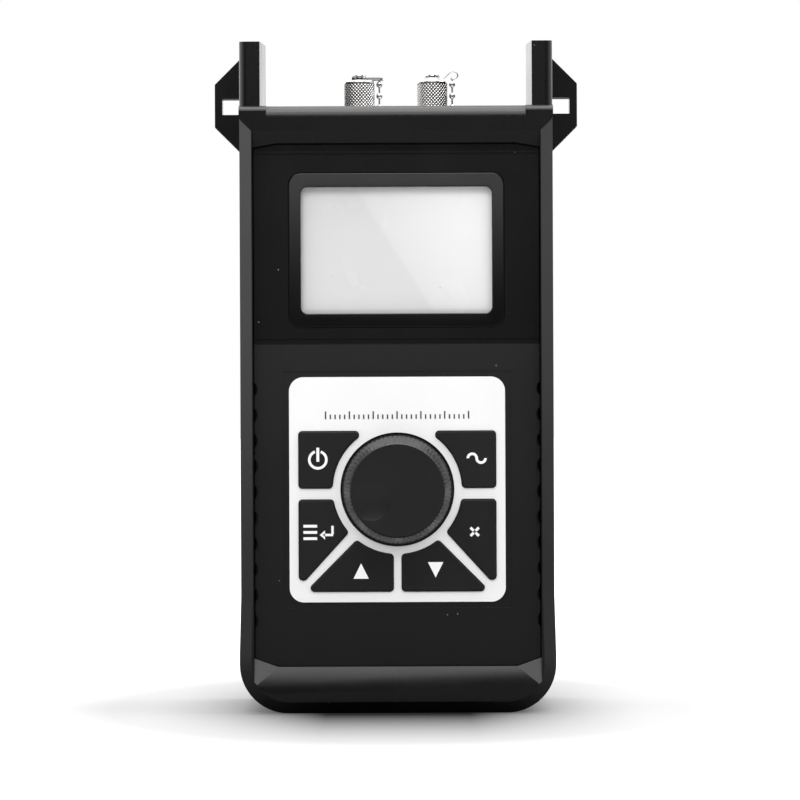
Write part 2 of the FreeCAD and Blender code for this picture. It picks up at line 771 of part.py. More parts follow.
def make_front_shell():
    """The front half of the housing, with the display and keypad recesses and the side scallops."""
    body = new_body("front_shell")
    outline = new_sketch(body, "front", SPLIT_Y)
    draw_box(outline, -CASE_HALF, CASE_HALF, CASE_LOW_Z, CASE_TOP_Z)
    pad(body, outline, size("front_depth"))
    round_edges(body, size("case_corner"), lambda edge: runs_along(edge, ALONG_Y))
    brow = CASE_TOP_Z - size("face_step_tall")
    line = brow - size("face_line_drop")
    step = new_sketch(body, "side")
    draw_box(step, FACE_Y, FACE_Y + size("face_step_deep"), brow, CASE_TOP_Z)
    draw_box(step, FACE_Y, FACE_Y + size("face_line_deep"), line - size("face_line_tall"), line)
    pocket(body, step, size("case_width"), both=True)
    cavity = new_sketch(body, "front", SPLIT_Y)
    wall = size("case_wall")
    draw_box(
        cavity, wall - CASE_HALF, CASE_HALF - wall, CASE_LOW_Z + wall, CASE_TOP_Z - wall
    )
    pocket(body, cavity, size("front_depth") - size("face_wall"), back=True)
    posts = new_sketch(body, "front", SPLIT_Y)
    for x, z in CASE_SCREWS:
        draw_circle(posts, x, z, POST_RADIUS)
    pad(body, posts, size("front_depth") - size("face_wall"))
    seats = new_sketch(body, "front", BOARD_Y)
    for x, z in BOARD_SCREWS:
        draw_circle(seats, x, z, SEAT_RADIUS)
    pad(body, seats, size("encoder_deep"))
    threads = new_sketch(body, "front", SPLIT_Y)
    for x, z in CASE_SCREWS:
        draw_circle(threads, x, z, size("case_screw_radius") + size("running"))
    pocket(body, threads, size("case_screw_bite") + size("free"), back=True)
    small = new_sketch(body, "front", BOARD_Y)
    for x, z in BOARD_SCREWS:
        draw_circle(small, x, z, size("small_screw_radius") + size("running"))
    pocket(body, small, size("board_screw_bite") + size("free"), back=True)
    lens = new_sketch(body, "front", FACE_Y)
    draw_rounded_box(
        lens, ZERO, LENS_Z, LENS_WIDTH + 2 * size("snug"),
        LENS_HEIGHT + 2 * size("snug"), size("lens_corner") + size("snug"),
    )
    pocket(body, lens, size("lens_thick"))
    screen = new_sketch(body, "front", FACE_Y)
    draw_rounded_box(
        screen, ZERO, LENS_Z, size("screen_width"), size("screen_height"),
        size("screen_corner"),
    )
    pocket(body, screen, size("face_wall"))
    surround = new_sketch(body, "front", FACE_Y, up=size("knob_z"))
    half_x = size("panel_width") / 2 + size("surround_out")
    half_z = size("panel_height") / 2 + size("surround_out")
    draw_box(surround, -half_x, half_x, -half_z, half_z)
    pocket(body, surround, size("surround_deep"))
    recess = new_sketch(body, "front", FACE_Y)
    draw_rounded_box(
        recess, ZERO, size("knob_z"), size("panel_width") + 2 * size("snug"),
        size("panel_height") + 2 * size("snug"), size("panel_corner") + size("snug"),
    )
    pocket(body, recess, size("panel_thick") - size("panel_proud"))
    holes = new_sketch(body, "front", FACE_Y, up=size("knob_z"))
    draw_circle(holes, ZERO, ZERO, size("bush_radius") + size("running"))
    for key in KEYS:
        draw_circle(holes, key.stem[0], key.stem[1], size("stem_radius") + size("free"))
    pocket(body, holes, size("face_wall"))
    groove = new_sketch(body, "side")
    half = size("groove_tall") / 2
    middle = LENS_Z - LENS_HEIGHT / 2 - size("groove_drop")
    draw_box(groove, FACE_Y, FACE_Y + size("groove_deep"), middle - half, middle + half)
    pocket(body, groove, size("case_width"), both=True)
    cut_scallops(body)
    open_case_top(body)


def cut_scallops(body):
    """Finger scallops down both edges of the face, each a shallow round notch."""
    deep = size("scallop_deep")
    half = size("scallop_half_tall")
    radius = (half * half + deep * deep) / (2 * deep)
    sketch = new_sketch(body, "front", FACE_Y)
    for side in (-1, 1):
        draw_circle(sketch, side * (CASE_HALF - deep + radius), size("scallop_first_z"), radius)
    notch = pocket(body, sketch, size("scallop_run"))
    pattern = body.newObject("PartDesign::LinearPattern", "Scallops")
    pattern.Originals = [notch]
    pattern.Direction = (sketch, ["V_Axis"])
    count = size("scallop_count")
    pattern.setExpression("Length", (size("scallop_pitch") * (count - 1)).text)
    pattern.setExpression("Occurrences", count.text)
    body.Tip = pattern


def make_rear_shell():
    """The back half of the housing, with the battery bay and the screw posts."""
    body = new_body("rear_shell")
    outline = new_sketch(body, "front", CASE_BACK_Y)
    draw_box(outline, -CASE_HALF, CASE_HALF, CASE_LOW_Z, CASE_TOP_Z)
    pad(body, outline, size("rear_depth"))
    round_edges(body, size("case_corner"), lambda edge: runs_along(edge, ALONG_Y))
    cavity = new_sketch(body, "front", SPLIT_Y)
    wall = size("case_wall")
    draw_box(
        cavity, wall - CASE_HALF, CASE_HALF - wall, CASE_LOW_Z + wall, CASE_TOP_Z - wall
    )
    pocket(body, cavity, size("rear_depth") - wall)
    bay_walls = new_sketch(body, "front", CASE_BACK_Y)
    thick = size("bay_wall")
    draw_box(
        bay_walls, -BAY_HALF - thick, BAY_HALF + thick, size("bay_low") - thick,
        BAY_HIGH_Z + thick,
    )
    pad(body, bay_walls, CASE_BACK_Y - BAY_FLOOR_Y + thick)
    bay = new_sketch(body, "front", CASE_BACK_Y)
    draw_box(bay, -BAY_HALF, BAY_HALF, size("bay_low"), BAY_HIGH_Z)
    pocket(body, bay, CASE_BACK_Y - BAY_FLOOR_Y, back=True)
    recess = new_sketch(body, "front", CASE_BACK_Y)
    half = DOOR_HALF + size("snug")
    draw_box(recess, -half, half, DOOR_LOW_Z - size("snug"), DOOR_HIGH_Z + size("snug"))
    pocket(body, recess, size("door_thick") + size("running"), back=True)
    posts = new_sketch(body, "front", SPLIT_Y)
    for x, z in CASE_SCREWS:
        draw_circle(posts, x, z, POST_RADIUS)
    pad(body, posts, size("rear_depth"), back=True)
    holes = new_sketch(body, "front", SPLIT_Y)
    for x, z in CASE_SCREWS:
        draw_circle(holes, x, z, size("case_screw_radius") + size("running"))
    pocket(body, holes, size("rear_depth"))
    heads = new_sketch(body, "front", CASE_BACK_Y)
    for x, z in CASE_SCREWS:
        draw_circle(heads, x, z, size("case_screw_head") + size("snug"))
    pocket(body, heads, size("case_screw_sink"), back=True)
    open_case_top(body)


# The share of a thickness that a round edge takes, so that two of them leave a flat between.
NEARLY_HALF = 0.49


def make_battery_door():
    """The door over the cells: its lower edge is round about the hinge line."""
    body = new_body("battery_door")
    outline = new_sketch(body, "front", DOOR_OUT_Y)
    draw_box(outline, -DOOR_HALF, DOOR_HALF, DOOR_LOW_Z, DOOR_HIGH_Z)
    pad(body, outline, size("door_thick"))
    round_edges(
        body, size("door_thick") * NEARLY_HALF,
        lambda edge: runs_along(edge, ALONG_X) and near(edge.CenterOfMass.z, DOOR_LOW_Z),
    )
    finger = new_sketch(body, "front", DOOR_OUT_Y)
    draw_rounded_box(
        finger, ZERO, DOOR_HIGH_Z - size("finger_drop"), size("finger_wide"),
        size("finger_tall"), size("finger_tall") * NEARLY_HALF,
    )
    pocket(body, finger, size("finger_deep"), back=True)


class Key:
    """A key: its outline about the knob's centre, where each point moves as the outline grows."""

    def __init__(self, label, side, points, stem):
        self.label = label
        self.side = side
        self.points = points
        self.stem = (side * stem[0], stem[1])

    def outline(self, clearance):
        """The outline's points, grown outwards by a clearance."""
        return [
            (self.side * (x + along * clearance), z + up * clearance)
            for x, z, along, up in self.points
        ]


# How far a sloping key edge is carried on inside the ring, as a share of its length.
INSIDE_RING = 0.3
# How a corner at a sloping edge moves as the outline grows: a little along the straight edge
# beside an open corner, and further out at a sharp one.
OPEN_CORNER = 0.4
SHARP_CORNER = 2.2


def beyond_ring(ring, foot):
    """A point on a sloping edge, carried on inside the ring round the knob."""
    return ring + (ring - foot) * INSIDE_RING


def key_set():
    """The six keys: three outlines, each used on both sides of the knob."""
    outer = size("key_outer")
    inner = size("key_top_inner")
    row = size("key_row")
    low_row = row - size("key_row_gap")
    top = [
        (outer, size("key_top"), 1, 1),
        (inner, size("key_top"), -1, 1),
        (inner, row, -1, -1),
        (outer, row, 1, -1),
    ]
    menu_x = beyond_ring(size("menu_ring_x"), size("menu_foot_x"))
    menu_z = beyond_ring(size("menu_ring_z"), size("menu_foot_z"))
    middle = [
        (outer, low_row, 1, 1),
        (menu_x, low_row, 0, 1),
        (menu_x, -menu_z, -1, -OPEN_CORNER),
        (size("menu_foot_x"), -size("menu_foot_z"), -OPEN_CORNER, -1),
        (outer, -size("menu_foot_z"), 1, -1),
    ]
    arrow_x = beyond_ring(size("arrow_ring_x"), size("arrow_foot_x"))
    arrow_z = beyond_ring(size("arrow_ring_z"), size("arrow_foot_z"))
    arrow = [
        (size("arrow_inner"), -arrow_z, -1, 0),
        (arrow_x, -arrow_z, OPEN_CORNER, 1),
        (size("arrow_foot_x"), -size("arrow_foot_z"), SHARP_CORNER, -1),
        (size("arrow_inner"), -size("arrow_foot_z"), -1, -1),
    ]
    upper_stem = ((outer + inner) / 2 + size("upper_stem_out"), (size("key_top") + row) / 2)
    middle_stem = (outer - size("middle_stem_in"), low_row - size("middle_stem_drop"))
    arrow_stem = (
        size("arrow_inner") + size("arrow_stem_out"),
        size("arrow_stem_rise") - size("arrow_foot_z"),
    )
    return [
        Key("key_power", -1, top, upper_stem),
        Key("key_wavelength", 1, top, upper_stem),
        Key("key_menu", -1, middle, middle_stem),
        Key("key_cancel", 1, middle, middle_stem),
        Key("key_up", -1, arrow, arrow_stem),
        Key("key_down", 1, arrow, arrow_stem),
    ]


KEYS = key_set()


def make_key(key):
    """A key cap that follows the knob's ring, with a stem to the board."""
    body = new_body(key.label)
    front = PANEL_FRONT_Y - size("key_proud")
    back = front + size("key_body")
    cap = new_sketch(body, "front", back, up=size("knob_z"))
    draw_loop(cap, key.outline(ZERO))
    pad(body, cap, size("key_body"))
    ring = new_sketch(body, "front", front, up=size("knob_z"))
    draw_circle(ring, ZERO, ZERO, size("key_ring"))
    pocket(body, ring, size("key_body"))
    round_edges(body, size("key_corner"), lambda edge: runs_along(edge, ALONG_Y))
    round_edges(
        body, size("key_edge"),
        lambda edge: all(near(vertex.Y, front) for vertex in edge.Vertexes),
    )
    tip = BOARD_Y - size("key_travel") - size("snug")
    stem = new_sketch(body, "front", tip, up=size("knob_z"))
    draw_circle(stem, key.stem[0], key.stem[1], size("stem_radius"))
    pad(body, stem, tip - back + size("stem_bite"))


def make_keypad_bezel():
    """The white panel, with a window for each key and a ring round the knob."""
    body = new_body("keypad_bezel")
    plate = new_sketch(body, "front", PANEL_BACK_Y)
    draw_rounded_box(
        plate, ZERO, size("knob_z"), size("panel_width"), size("panel_height"),
        size("panel_corner"),
    )
    pad(body, plate, size("panel_thick"))
    for key in KEYS:
        window = new_sketch(body, "front", PANEL_FRONT_Y, up=size("knob_z"))
        draw_loop(window, key.outline(size("key_gap")))
        pocket(body, window, size("panel_thick"))
    middle = new_sketch(body, "front", PANEL_FRONT_Y, up=size("knob_z"))
    draw_circle(middle, ZERO, ZERO, size("knob_hole"))
    pocket(body, middle, size("panel_thick"))
    ring = new_sketch(body, "front", PANEL_BACK_Y, up=size("knob_z"))
    draw_circle(ring, ZERO, ZERO, size("key_ring") - size("key_gap"))
    draw_circle(ring, ZERO, ZERO, size("knob_hole"))
    pad(body, ring, size("panel_thick"))
    past = 2 * size("key_gap")
    inside_x = (size("key_outer") + past).value
    inside_z = (size("arrow_foot_z") + past).value
    outside_ring = (size("key_ring") - past).value

    def is_window_corner(edge):
        middle = edge.CenterOfMass
        x, z = abs(middle.x), abs(middle.z - size("knob_z").value)
        in_keys = x < inside_x and z < inside_z
        return runs_along(edge, ALONG_Y) and in_keys and math.hypot(x, z) > outside_ring

    round_edges(body, size("key_corner") + size("key_gap"), is_window_corner)


def make_keypad_mat():
    """The soft sheet behind the face that the stems pass through."""
    body = new_body("keypad_mat")
    plate = new_sketch(body, "front", INNER_FACE_Y + size("mat_thick"), up=size("knob_z"))
    half_x = size("panel_width") / 2 - size("free")
    half_z = size("panel_height") / 2 - size("free")
    draw_box(plate, -half_x, half_x, -half_z, half_z)
    hole = size("encoder_side") / 2 + size("free")
    draw_box(plate, -hole, hole, -hole, hole)
    for key in KEYS:
        draw_circle(plate, key.stem[0], key.stem[1], size("stem_radius") + size("free"))
    pad(body, plate, size("mat_thick"))


def make_knob():
    """The rotary knob: a conical rim, a flat top with a finger dimple, a bore behind."""
    body = new_body("knob")
    back = PANEL_FRONT_Y + size("knob_skirt")
    front = FACE_Y - size("knob_proud")
    rim = PANEL_FRONT_Y - size("knob_skirt")
    hollow = size("nut_across") / math.sqrt(3) + 2 * size("free")
    floor = PANEL_BACK_Y - size("bush_proud") - 2 * size("free")
    bore = size("shaft_radius") + size("running")
    profile = new_sketch(body, "side", up=size("knob_z"))
    draw_loop(profile, [
        (back, hollow),
        (back, size("knob_radius")),
        (rim, size("knob_radius")),
        (front, size("knob_top_radius")),
        (front, ZERO),
        (front + size("knob_roof"), ZERO),
        (front + size("knob_roof"), bore),
        (floor, bore),
        (floor, hollow),
    ])
    revolve(body, profile)
    round_edges(
        body, size("knob_edge"),
        lambda edge: all(near(vertex.Y, front) for vertex in edge.Vertexes),
    )
    radius = size("dimple_radius")
    deep = size("dimple_deep")
    ball = (radius * radius + deep * deep) / (2 * deep)
    dimple = new_sketch(
        body, "side", -size("dimple_x"), up=size("knob_z") - size("dimple_z")
    )
    draw_half_disc(dimple, front + deep - ball, ball)
    revolve(body, dimple, cut=True)


FORWARD = Rotation(Vector(1, 0, 0), 90)
DOWN = Rotation(Vector(1, 0, 0), 180)


def make_encoder():
    """The rotary encoder behind the face: case with bushing, and the shaft in it."""
    side = size("encoder_side")
    bush_front = PANEL_BACK_Y - size("bush_proud")
    base = block(side, size("encoder_deep"), side, ZERO, INNER_FACE_Y + size("encoder_deep") / 2,
                 size("knob_z") - side / 2)
    floor = BOARD_Y - size("encoder_floor")
    bush = cylinder(size("bush_radius"), floor - bush_front, ZERO, floor, size("knob_z"), FORWARD)
    bore = cylinder(size("shaft_radius") + size("running"), floor - bush_front + PAST, ZERO,
                    floor, size("knob_z"), FORWARD)
    named(cut(fused([base, bush]), bore), "encoder_body")
    start = floor - size("free")
    end = FACE_Y - size("knob_proud") + size("knob_roof") + size("free")
    shaft = cylinder(size("shaft_radius"), start - end, ZERO, start, size("knob_z"), FORWARD)
    named(shaft, "encoder_shaft")


def draw_hexagon(sketch, across, x=ZERO, y=ZERO):
    """A hexagon from its width across the flats."""
    reach = across / math.sqrt(3)
    draw_loop(sketch, [
        (x + reach * math.cos(math.radians(60 * corner)),
         y + reach * math.sin(math.radians(60 * corner)))
        for corner in range(6)
    ])


def make_encoder_nut():
    """The nut that holds the encoder to the face, under the knob."""
    body = new_body("encoder_nut")
    sketch = new_sketch(body, "front", PANEL_BACK_Y, up=size("knob_z"))
    draw_hexagon(sketch, size("nut_across"))
    draw_circle(sketch, ZERO, ZERO, size("bush_radius") + size("running"))
    pad(body, sketch, size("nut_thick"))


def make_display():
    """The lens in the face, the panel behind it and the frame that carries the panel."""
    lens = new_body("display_lens")
    outline = new_sketch(lens, "front", FACE_Y + size("lens_thick"))
    draw_rounded_box(
        outline, ZERO, LENS_Z, LENS_WIDTH, LENS_HEIGHT,
        size("lens_corner"),
    )
    pad(lens, outline, size("lens_thick"))
    half_x = LCD_HALF_X
    half_z = LCD_HALF_Z
    panel = new_body("lcd_panel")
    outline = new_sketch(panel, "front", INNER_FACE_Y + size("lcd_thick"), up=LENS_Z)
    draw_box(outline, -half_x, half_x, -half_z, half_z)
    pad(panel, outline, size("lcd_thick"))
    frame = new_body("lcd_frame")
    rim = LCD_FRAME_RIM
    outline = new_sketch(frame, "front", BOARD_Y, up=LENS_Z)
    draw_box(outline, -half_x - rim, half_x + rim, -half_z - rim, half_z + rim)
    pad(frame, outline, size("encoder_deep"))
    seat = new_sketch(frame, "front", INNER_FACE_Y, up=LENS_Z)
    gap = size("snug")
    draw_box(seat, -half_x - gap, half_x + gap, -half_z - gap, half_z + gap)
    pocket(frame, seat, size("lcd_thick") + gap)


def make_main_board():
    """The circuit board, on the seats of the front shell."""
    body = new_body("main_board")
    sketch = new_sketch(body, "front", BOARD_BACK_Y)
    draw_box(sketch, -BOARD_HALF, BOARD_HALF, size("board_low"), BOARD_HIGH_Z)
    for x, z in BOARD_SCREWS:
        draw_circle(sketch, x, z, size("small_screw_radius") + size("running"))
    for x, z in MODULE_SCREWS:
        draw_circle(sketch, x, z, size("small_screw_radius") + size("running"))
    pad(body, sketch, size("board_thick"))


MODULE_HIGH_Z = size("module_low") + size("module_height")
MODULE_DEEP = 2 * (PORT_Y - BOARD_BACK_Y)
MODULE_BACK_Y = BOARD_BACK_Y + MODULE_DEEP
MODULE_SCREWS = [
    (side * (size("module_width") / 2 - size("module_screw_in")), z)
    for side in (-1, 1)
    for z in (size("module_low") + size("module_screw_in"),
              MODULE_HIGH_Z - size("module_screw_in"))
]


def make_attenuator_module():
    """The optical block on the board's back, which the two fibres enter from above."""
    body = new_body("attenuator_module")
    outline = new_sketch(body, "front", MODULE_BACK_Y)
    half = size("module_width") / 2
    draw_box(outline, -half, half, size("module_low"), MODULE_HIGH_Z)
    pad(body, outline, MODULE_DEEP)
    bevel_edges(body, size("module_bevel"), lambda edge: runs_along(edge, ALONG_Y))
    screws = new_sketch(body, "front", MODULE_BACK_Y)
    for x, z in MODULE_SCREWS:
        draw_circle(screws, x, z, size("small_screw_radius") + size("running"))
    pocket(body, screws, MODULE_DEEP, back=True)
    ports = new_sketch(body, "top", MODULE_HIGH_Z)
    for side in (-1, 1):
        draw_circle(ports, side * size("port_x"), PORT_Y, size("fibre_radius") + size("running"))
    pocket(body, ports, size("fibre_bite"))


def make_end_plate():
    """The metal plate on top of the housing, which carries the two connectors."""
    body = new_body("top_end_plate")
    sketch = new_sketch(body, "top", CASE_TOP_Z)
    draw_rounded_box(
        sketch, ZERO, PORT_Y, size("plate_width"), size("plate_depth"), size("plate_corner")
    )
    for side in (-1, 1):
        draw_circle(sketch, side * size("port_x"), PORT_Y, size("thread_radius") + size("running"))
        draw_circle(
            sketch, side * size("port_x") + CHAIN_OUT, ANCHOR_Y,
            size("small_screw_radius") + size("running"),
        )
    for x, y in PLATE_SCREWS:
        draw_circle(sketch, x, y, size("small_screw_radius") + size("running"))
    pad(body, sketch, size("plate_thick"))


CHAIN_OUT = size("cap_radius") + size("bead_radius") + size("free")
ANCHOR_Y = PORT_Y - size("anchor_out")
TAB_LOW_Z = CAP_TOP_Z + size("tab_gap")
TAIL_LOW_Z = PLATE_TOP_Z - size("adapter_tail")


def make_port(side, word):
    """One connector: threaded body, nut, split sleeve, inner plug and fibre."""
    across = side * size("port_x")
    bore = size("sleeve_radius") + size("running")
    thread = size("thread_radius")
    mouth = thread - size("thread_wall")
    adapter = new_body(f"adapter_{word}")
    profile = new_sketch(adapter, "front", PORT_Y, across=across)
    draw_loop(profile, [
        (bore, TAIL_LOW_Z),
        (thread, TAIL_LOW_Z),
        (thread, PLATE_TOP_Z),
        (size("flange_radius"), PLATE_TOP_Z),
        (size("flange_radius"), FLANGE_TOP_Z),
        (thread, FLANGE_TOP_Z),
        (thread, THREAD_TOP_Z),
        (mouth, THREAD_TOP_Z),
        (mouth, FLANGE_TOP_Z),
        (bore, FLANGE_TOP_Z),
    ])
    revolve(adapter, profile, "V_Axis")
    nut = new_body(f"adapter_nut_{word}")
    sketch = new_sketch(nut, "top", CASE_TOP_Z, across=across, up=PORT_Y)
    draw_hexagon(sketch, size("adapter_nut_across"))
    draw_circle(sketch, ZERO, ZERO, thread + size("running"))
    pad(nut, sketch, size("adapter_nut_thick"), back=True)
    sleeve = new_body(f"adapter_sleeve_{word}")
    sketch = new_sketch(sleeve, "top", TAIL_LOW_Z + 1, across=across, up=PORT_Y)
    draw_circle(sketch, ZERO, ZERO, size("sleeve_radius"))
    draw_circle(sketch, ZERO, ZERO, size("ferrule_radius") + size("sleeve_play"))
    pad(sleeve, sketch, THREAD_TOP_Z - TAIL_LOW_Z - 2)
    plug = new_body(f"inner_plug_{word}")
    profile = new_sketch(plug, "front", PORT_Y, across=across)
    plug_top = TAIL_LOW_Z - size("snug")
    plug_low = plug_top - size("plug_long")
    tail = plug_low - size("plug_tail")
    hole = size("fibre_radius") + size("running")
    draw_loop(profile, [
        (ZERO, plug_top + size("ferrule_long")),
        (ZERO, plug_low),
        (hole, plug_low),
        (hole, tail),
        (size("plug_tail_radius"), tail),
        (size("plug_shoulder"), plug_low),
        (size("plug_radius"), plug_low),
        (size("plug_radius"), plug_top),
        (size("ferrule_radius"), plug_top),
        (size("ferrule_radius"), plug_top + size("ferrule_long")),
    ])
    revolve(plug, profile, "V_Axis")
    low = MODULE_HIGH_Z - size("fibre_bite") + size("snug")
    fibre = cylinder(size("fibre_radius"), plug_low - size("snug") - low, across, PORT_Y, low)
    named(fibre, f"fibre_{word}")


def make_dust_cap(side, word):
    """A knurled cap on its thread, with a riveted pin for the tether's tab."""
    body = new_body(f"dust_cap_{word}")
    across = side * size("port_x")
    bore = size("thread_radius") + size("running")
    pin_top = TAB_LOW_Z + size("tab_thick") + size("tab_gap")
    profile = new_sketch(body, "front", PORT_Y, across=across)
    draw_loop(profile, [
        (bore, CAP_LOW_Z),
        (size("cap_radius"), CAP_LOW_Z),
        (size("cap_radius"), CAP_TOP_Z),
        (size("cap_pin_radius"), CAP_TOP_Z),
        (size("cap_pin_radius"), pin_top),
        (size("rivet_radius"), pin_top),
        (size("rivet_radius"), pin_top + size("rivet_thick")),
        (ZERO, pin_top + size("rivet_thick")),
        (ZERO, CAP_TOP_Z - size("cap_roof")),
        (bore, CAP_TOP_Z - size("cap_roof")),
    ])
    revolve(body, profile, "V_Axis")
    bevel_edges(
        body, size("cap_bevel"),
        lambda edge: abs(edge.BoundBox.XLength - 2 * size("cap_radius").value) < 1e-3,
    )
    sketch = new_sketch(body, "top", CAP_TOP_Z - size("knurl_end"), across=across, up=PORT_Y)
    root = size("cap_radius") - size("knurl_deep")
    draw_loop(sketch, [
        (root, ZERO),
        (size("cap_radius") + PAST, -size("knurl_half_wide")),
        (size("cap_radius") + PAST, size("knurl_half_wide")),
    ])
    notch = pocket(body, sketch, size("cap_tall") - 2 * size("knurl_end"))
    pattern = body.newObject("PartDesign::PolarPattern", "Knurl")
    pattern.Originals = [notch]
    pattern.Axis = (profile, ["V_Axis"])
    pattern.Angle = 360
    pattern.setExpression("Occurrences", size("knurl_count").text)
    body.Tip = pattern


def make_tether_tab(side, word):
    """The flat tab that swivels under the rivet and carries the chain."""
    body = new_body(f"tether_tab_{word}")
    across = side * size("port_x")
    ring = size("rivet_radius") + size("free")
    sketch = new_sketch(body, "top", TAB_LOW_Z, across=across, up=PORT_Y)
    draw_circle(sketch, ZERO, ZERO, ring)
    pad(body, sketch, size("tab_thick"))
    arm = new_sketch(body, "top", TAB_LOW_Z, across=across, up=PORT_Y)
    half = size("tab_half")
    draw_box(arm, ring / 2, CHAIN_OUT + half, -half, half)
    pad(body, arm, size("tab_thick"))
    hole = new_sketch(body, "top", TAB_LOW_Z + size("tab_thick"), across=across, up=PORT_Y)
    draw_circle(hole, ZERO, ZERO, size("cap_pin_radius") + size("running"))
    pocket(body, hole, size("tab_thick"))
    round_edges(
        body, size("tab_corner"),
        lambda edge: runs_along(edge, ALONG_Z)
        and near(edge.CenterOfMass.x, across + CHAIN_OUT + half),
    )


def make_chain(side, word):
    """A bead chain from the tab down to the plate and forward to its screw."""
    x = (side * size("port_x") + CHAIN_OUT).value
    radius = size("bead_radius").value
    rest = PLATE_TOP_Z.value + radius + size("snug").value
    turn = rest + size("chain_turn").value
    top = Vector(x, PORT_Y.value, TAB_LOW_Z.value)
    bend = Vector(x, PORT_Y.value, turn)
    low = Vector(x, PORT_Y.value - size("chain_turn").value, rest)
    head = size("small_screw_head").value + size("snug").value
    end = Vector(x, ANCHOR_Y.value + head, rest)
    route = [top, bend, low, end]
    length = sum((stop - start).Length for start, stop in zip(route, route[1:]))
    shift = radius + size("link_radius").value
    room = length - shift - radius - size("snug").value
    count = int(room / size("bead_pitch").value) + 1
    beads = []
    for number in range(count):
        along = shift + number * size("bead_pitch").value
        beads.append(point_along(route, along))
    shape = Part.makeSphere(radius, beads[0])
    for bead in beads[1:]:
        shape = shape.fuse(Part.makeSphere(radius, bead))
    stops = [top] + beads + [end]
    for start, stop in zip(stops, stops[1:]):
        run = stop - start
        shape = shape.fuse(
            Part.makeCylinder(size("link_radius").value, run.Length, start, run)
        )
    feature = DOC.addObject("Part::Feature", f"Chain{word.capitalize()}")
    feature.Shape = shape.removeSplitter()
    named(feature, f"chain_{word}")


def point_along(points, distance):
    """The point at a distance along a route of straight runs."""
    for start, stop in zip(points, points[1:]):
        run = stop - start
        if distance <= run.Length:
            return start + run * (distance / run.Length)
        distance -= run.Length
    return points[-1]


def screw(seat, aim, radius, length, head_radius, head_thick):
    """A screw that points along an aim from its head's seat, with a socket in the head."""
    step = aim.multVec(ALONG_Z)
    ways = [round(step.x), round(step.y), round(step.z)]
    top = [place - way * head_thick for place, way in zip(seat, ways)]
    shank = cylinder(radius, length, *seat, aim)
    head = cylinder(head_radius, head_thick, *top, aim)
    share = size("socket_share")
    socket = cylinder(head_radius * share, head_thick * share, *top, aim)
    return cut(fused([shank, head]), socket)


def small_screw(seat, aim, length):
    """One of the small screws, which differ only in length."""
    return screw(
        seat, aim, size("small_screw_radius"), length, size("small_screw_head"),
        size("small_head_thick"),
    )


def make_screws():
    """Every group of like screws."""
    seat_y = CASE_BACK_Y - size("case_screw_sink")
    long = size("rear_depth") - size("case_screw_sink") + size("case_screw_bite")
    named(grouped([
        screw((x, seat_y, z), FORWARD, size("case_screw_radius"), long,
              size("case_screw_head"), size("case_head_thick"))
        for x, z in CASE_SCREWS
    ]), "case_screws")
    reach = size("board_thick") + size("board_screw_bite")
    named(grouped([
        small_screw((x, BOARD_BACK_Y, z), FORWARD, reach) for x, z in BOARD_SCREWS
    ]), "board_screws")
    through = MODULE_DEEP + size("board_thick")
    named(grouped([
        small_screw((x, MODULE_BACK_Y, z), FORWARD, through) for x, z in MODULE_SCREWS
    ]), "module_screws")
    grip = size("plate_thick") + size("case_wall") + size("plate_screw_past")
    named(grouped([
        small_screw((x, y, PLATE_TOP_Z), DOWN, grip) for x, y in PLATE_SCREWS
    ]), "end_plate_screws")
    named(grouped([
        small_screw(
            (side * size("port_x") + CHAIN_OUT, ANCHOR_Y, PLATE_TOP_Z), DOWN,
            size("plate_thick"),
        )
        for side in (-1, 1)
    ]), "chain_screws")


def make_batteries():
    """The cells side by side, and a sprung contact at each end of each."""
    count = int(SIZES["cell_count"])
    low = size("bay_low") + size("bay_end")
    contacts = []
    for number in range(count):
        x = size("cell_pitch") * (number - (size("cell_count") - 1) / 2)
        upright = number % 2 == 0
        can_low = low if upright else low + size("cell_nub")
        nub_low = low + size("cell_long") - size("cell_nub") if upright else low
        can = cylinder(
            size("cell_radius"), size("cell_long") - size("cell_nub"), x, CELL_Y, can_low
        )
        nub = cylinder(size("cell_nub_radius"), size("cell_nub"), x, CELL_Y, nub_low)
        named(fused([can, nub]), f"battery_{number + 1}")
        side = size("contact_side")
        bump = size("bay_end") - size("contact_thick") - size("free") / 2
        high = BAY_HIGH_Z - size("contact_thick")
        for plate_z, bump_z in (
            (size("bay_low"), size("bay_low") + size("contact_thick")),
            (high, high - bump),
        ):
            plate = block(side, side, size("contact_thick"), x, CELL_Y, plate_z)
            contacts.append(fused([
                plate, cylinder(size("cell_nub_radius"), bump, x, CELL_Y, bump_z)
            ]))
    named(grouped(contacts), "battery_contacts")


def check_model():
    """Stop unless every object recomputed and every sub-part is a sound solid."""
    DOC.recompute()
    for item in DOC.Objects:
        if "Invalid" in item.State or "Error" in item.State:
            raise RuntimeError(f"{item.Label} ({item.Name}): {item.State}")
        if item.TypeId in ("PartDesign::Pocket", "PartDesign::Groove"):
            if item.Shape.Volume >= item.BaseFeature.Shape.Volume - 1e-6:
                raise RuntimeError(f"{item.Name} of {item.getParentGeoFeatureGroup().Label} cuts nothing")
    for node in NODES:
        if node.Shape.isNull() or not node.Shape.isValid() or not node.Shape.Solids:
            raise RuntimeError(f"{node.Label}: no sound shape")


def write_parts():
    """Write each sub-part to its own file."""
    os.makedirs("parts", exist_ok=True)
    for node in NODES:
        node.Shape.exportStep(f"parts/{node.Label}.step")
        box = node.Shape.BoundBox
        print(
            f"{node.Label:24} solids {len(node.Shape.Solids)}"
            f"  x {box.XMin:7.2f} {box.XMax:7.2f}  y {box.YMin:7.2f} {box.YMax:7.2f}"
            f"  z {box.ZMin:7.2f} {box.ZMax:7.2f}"
        )


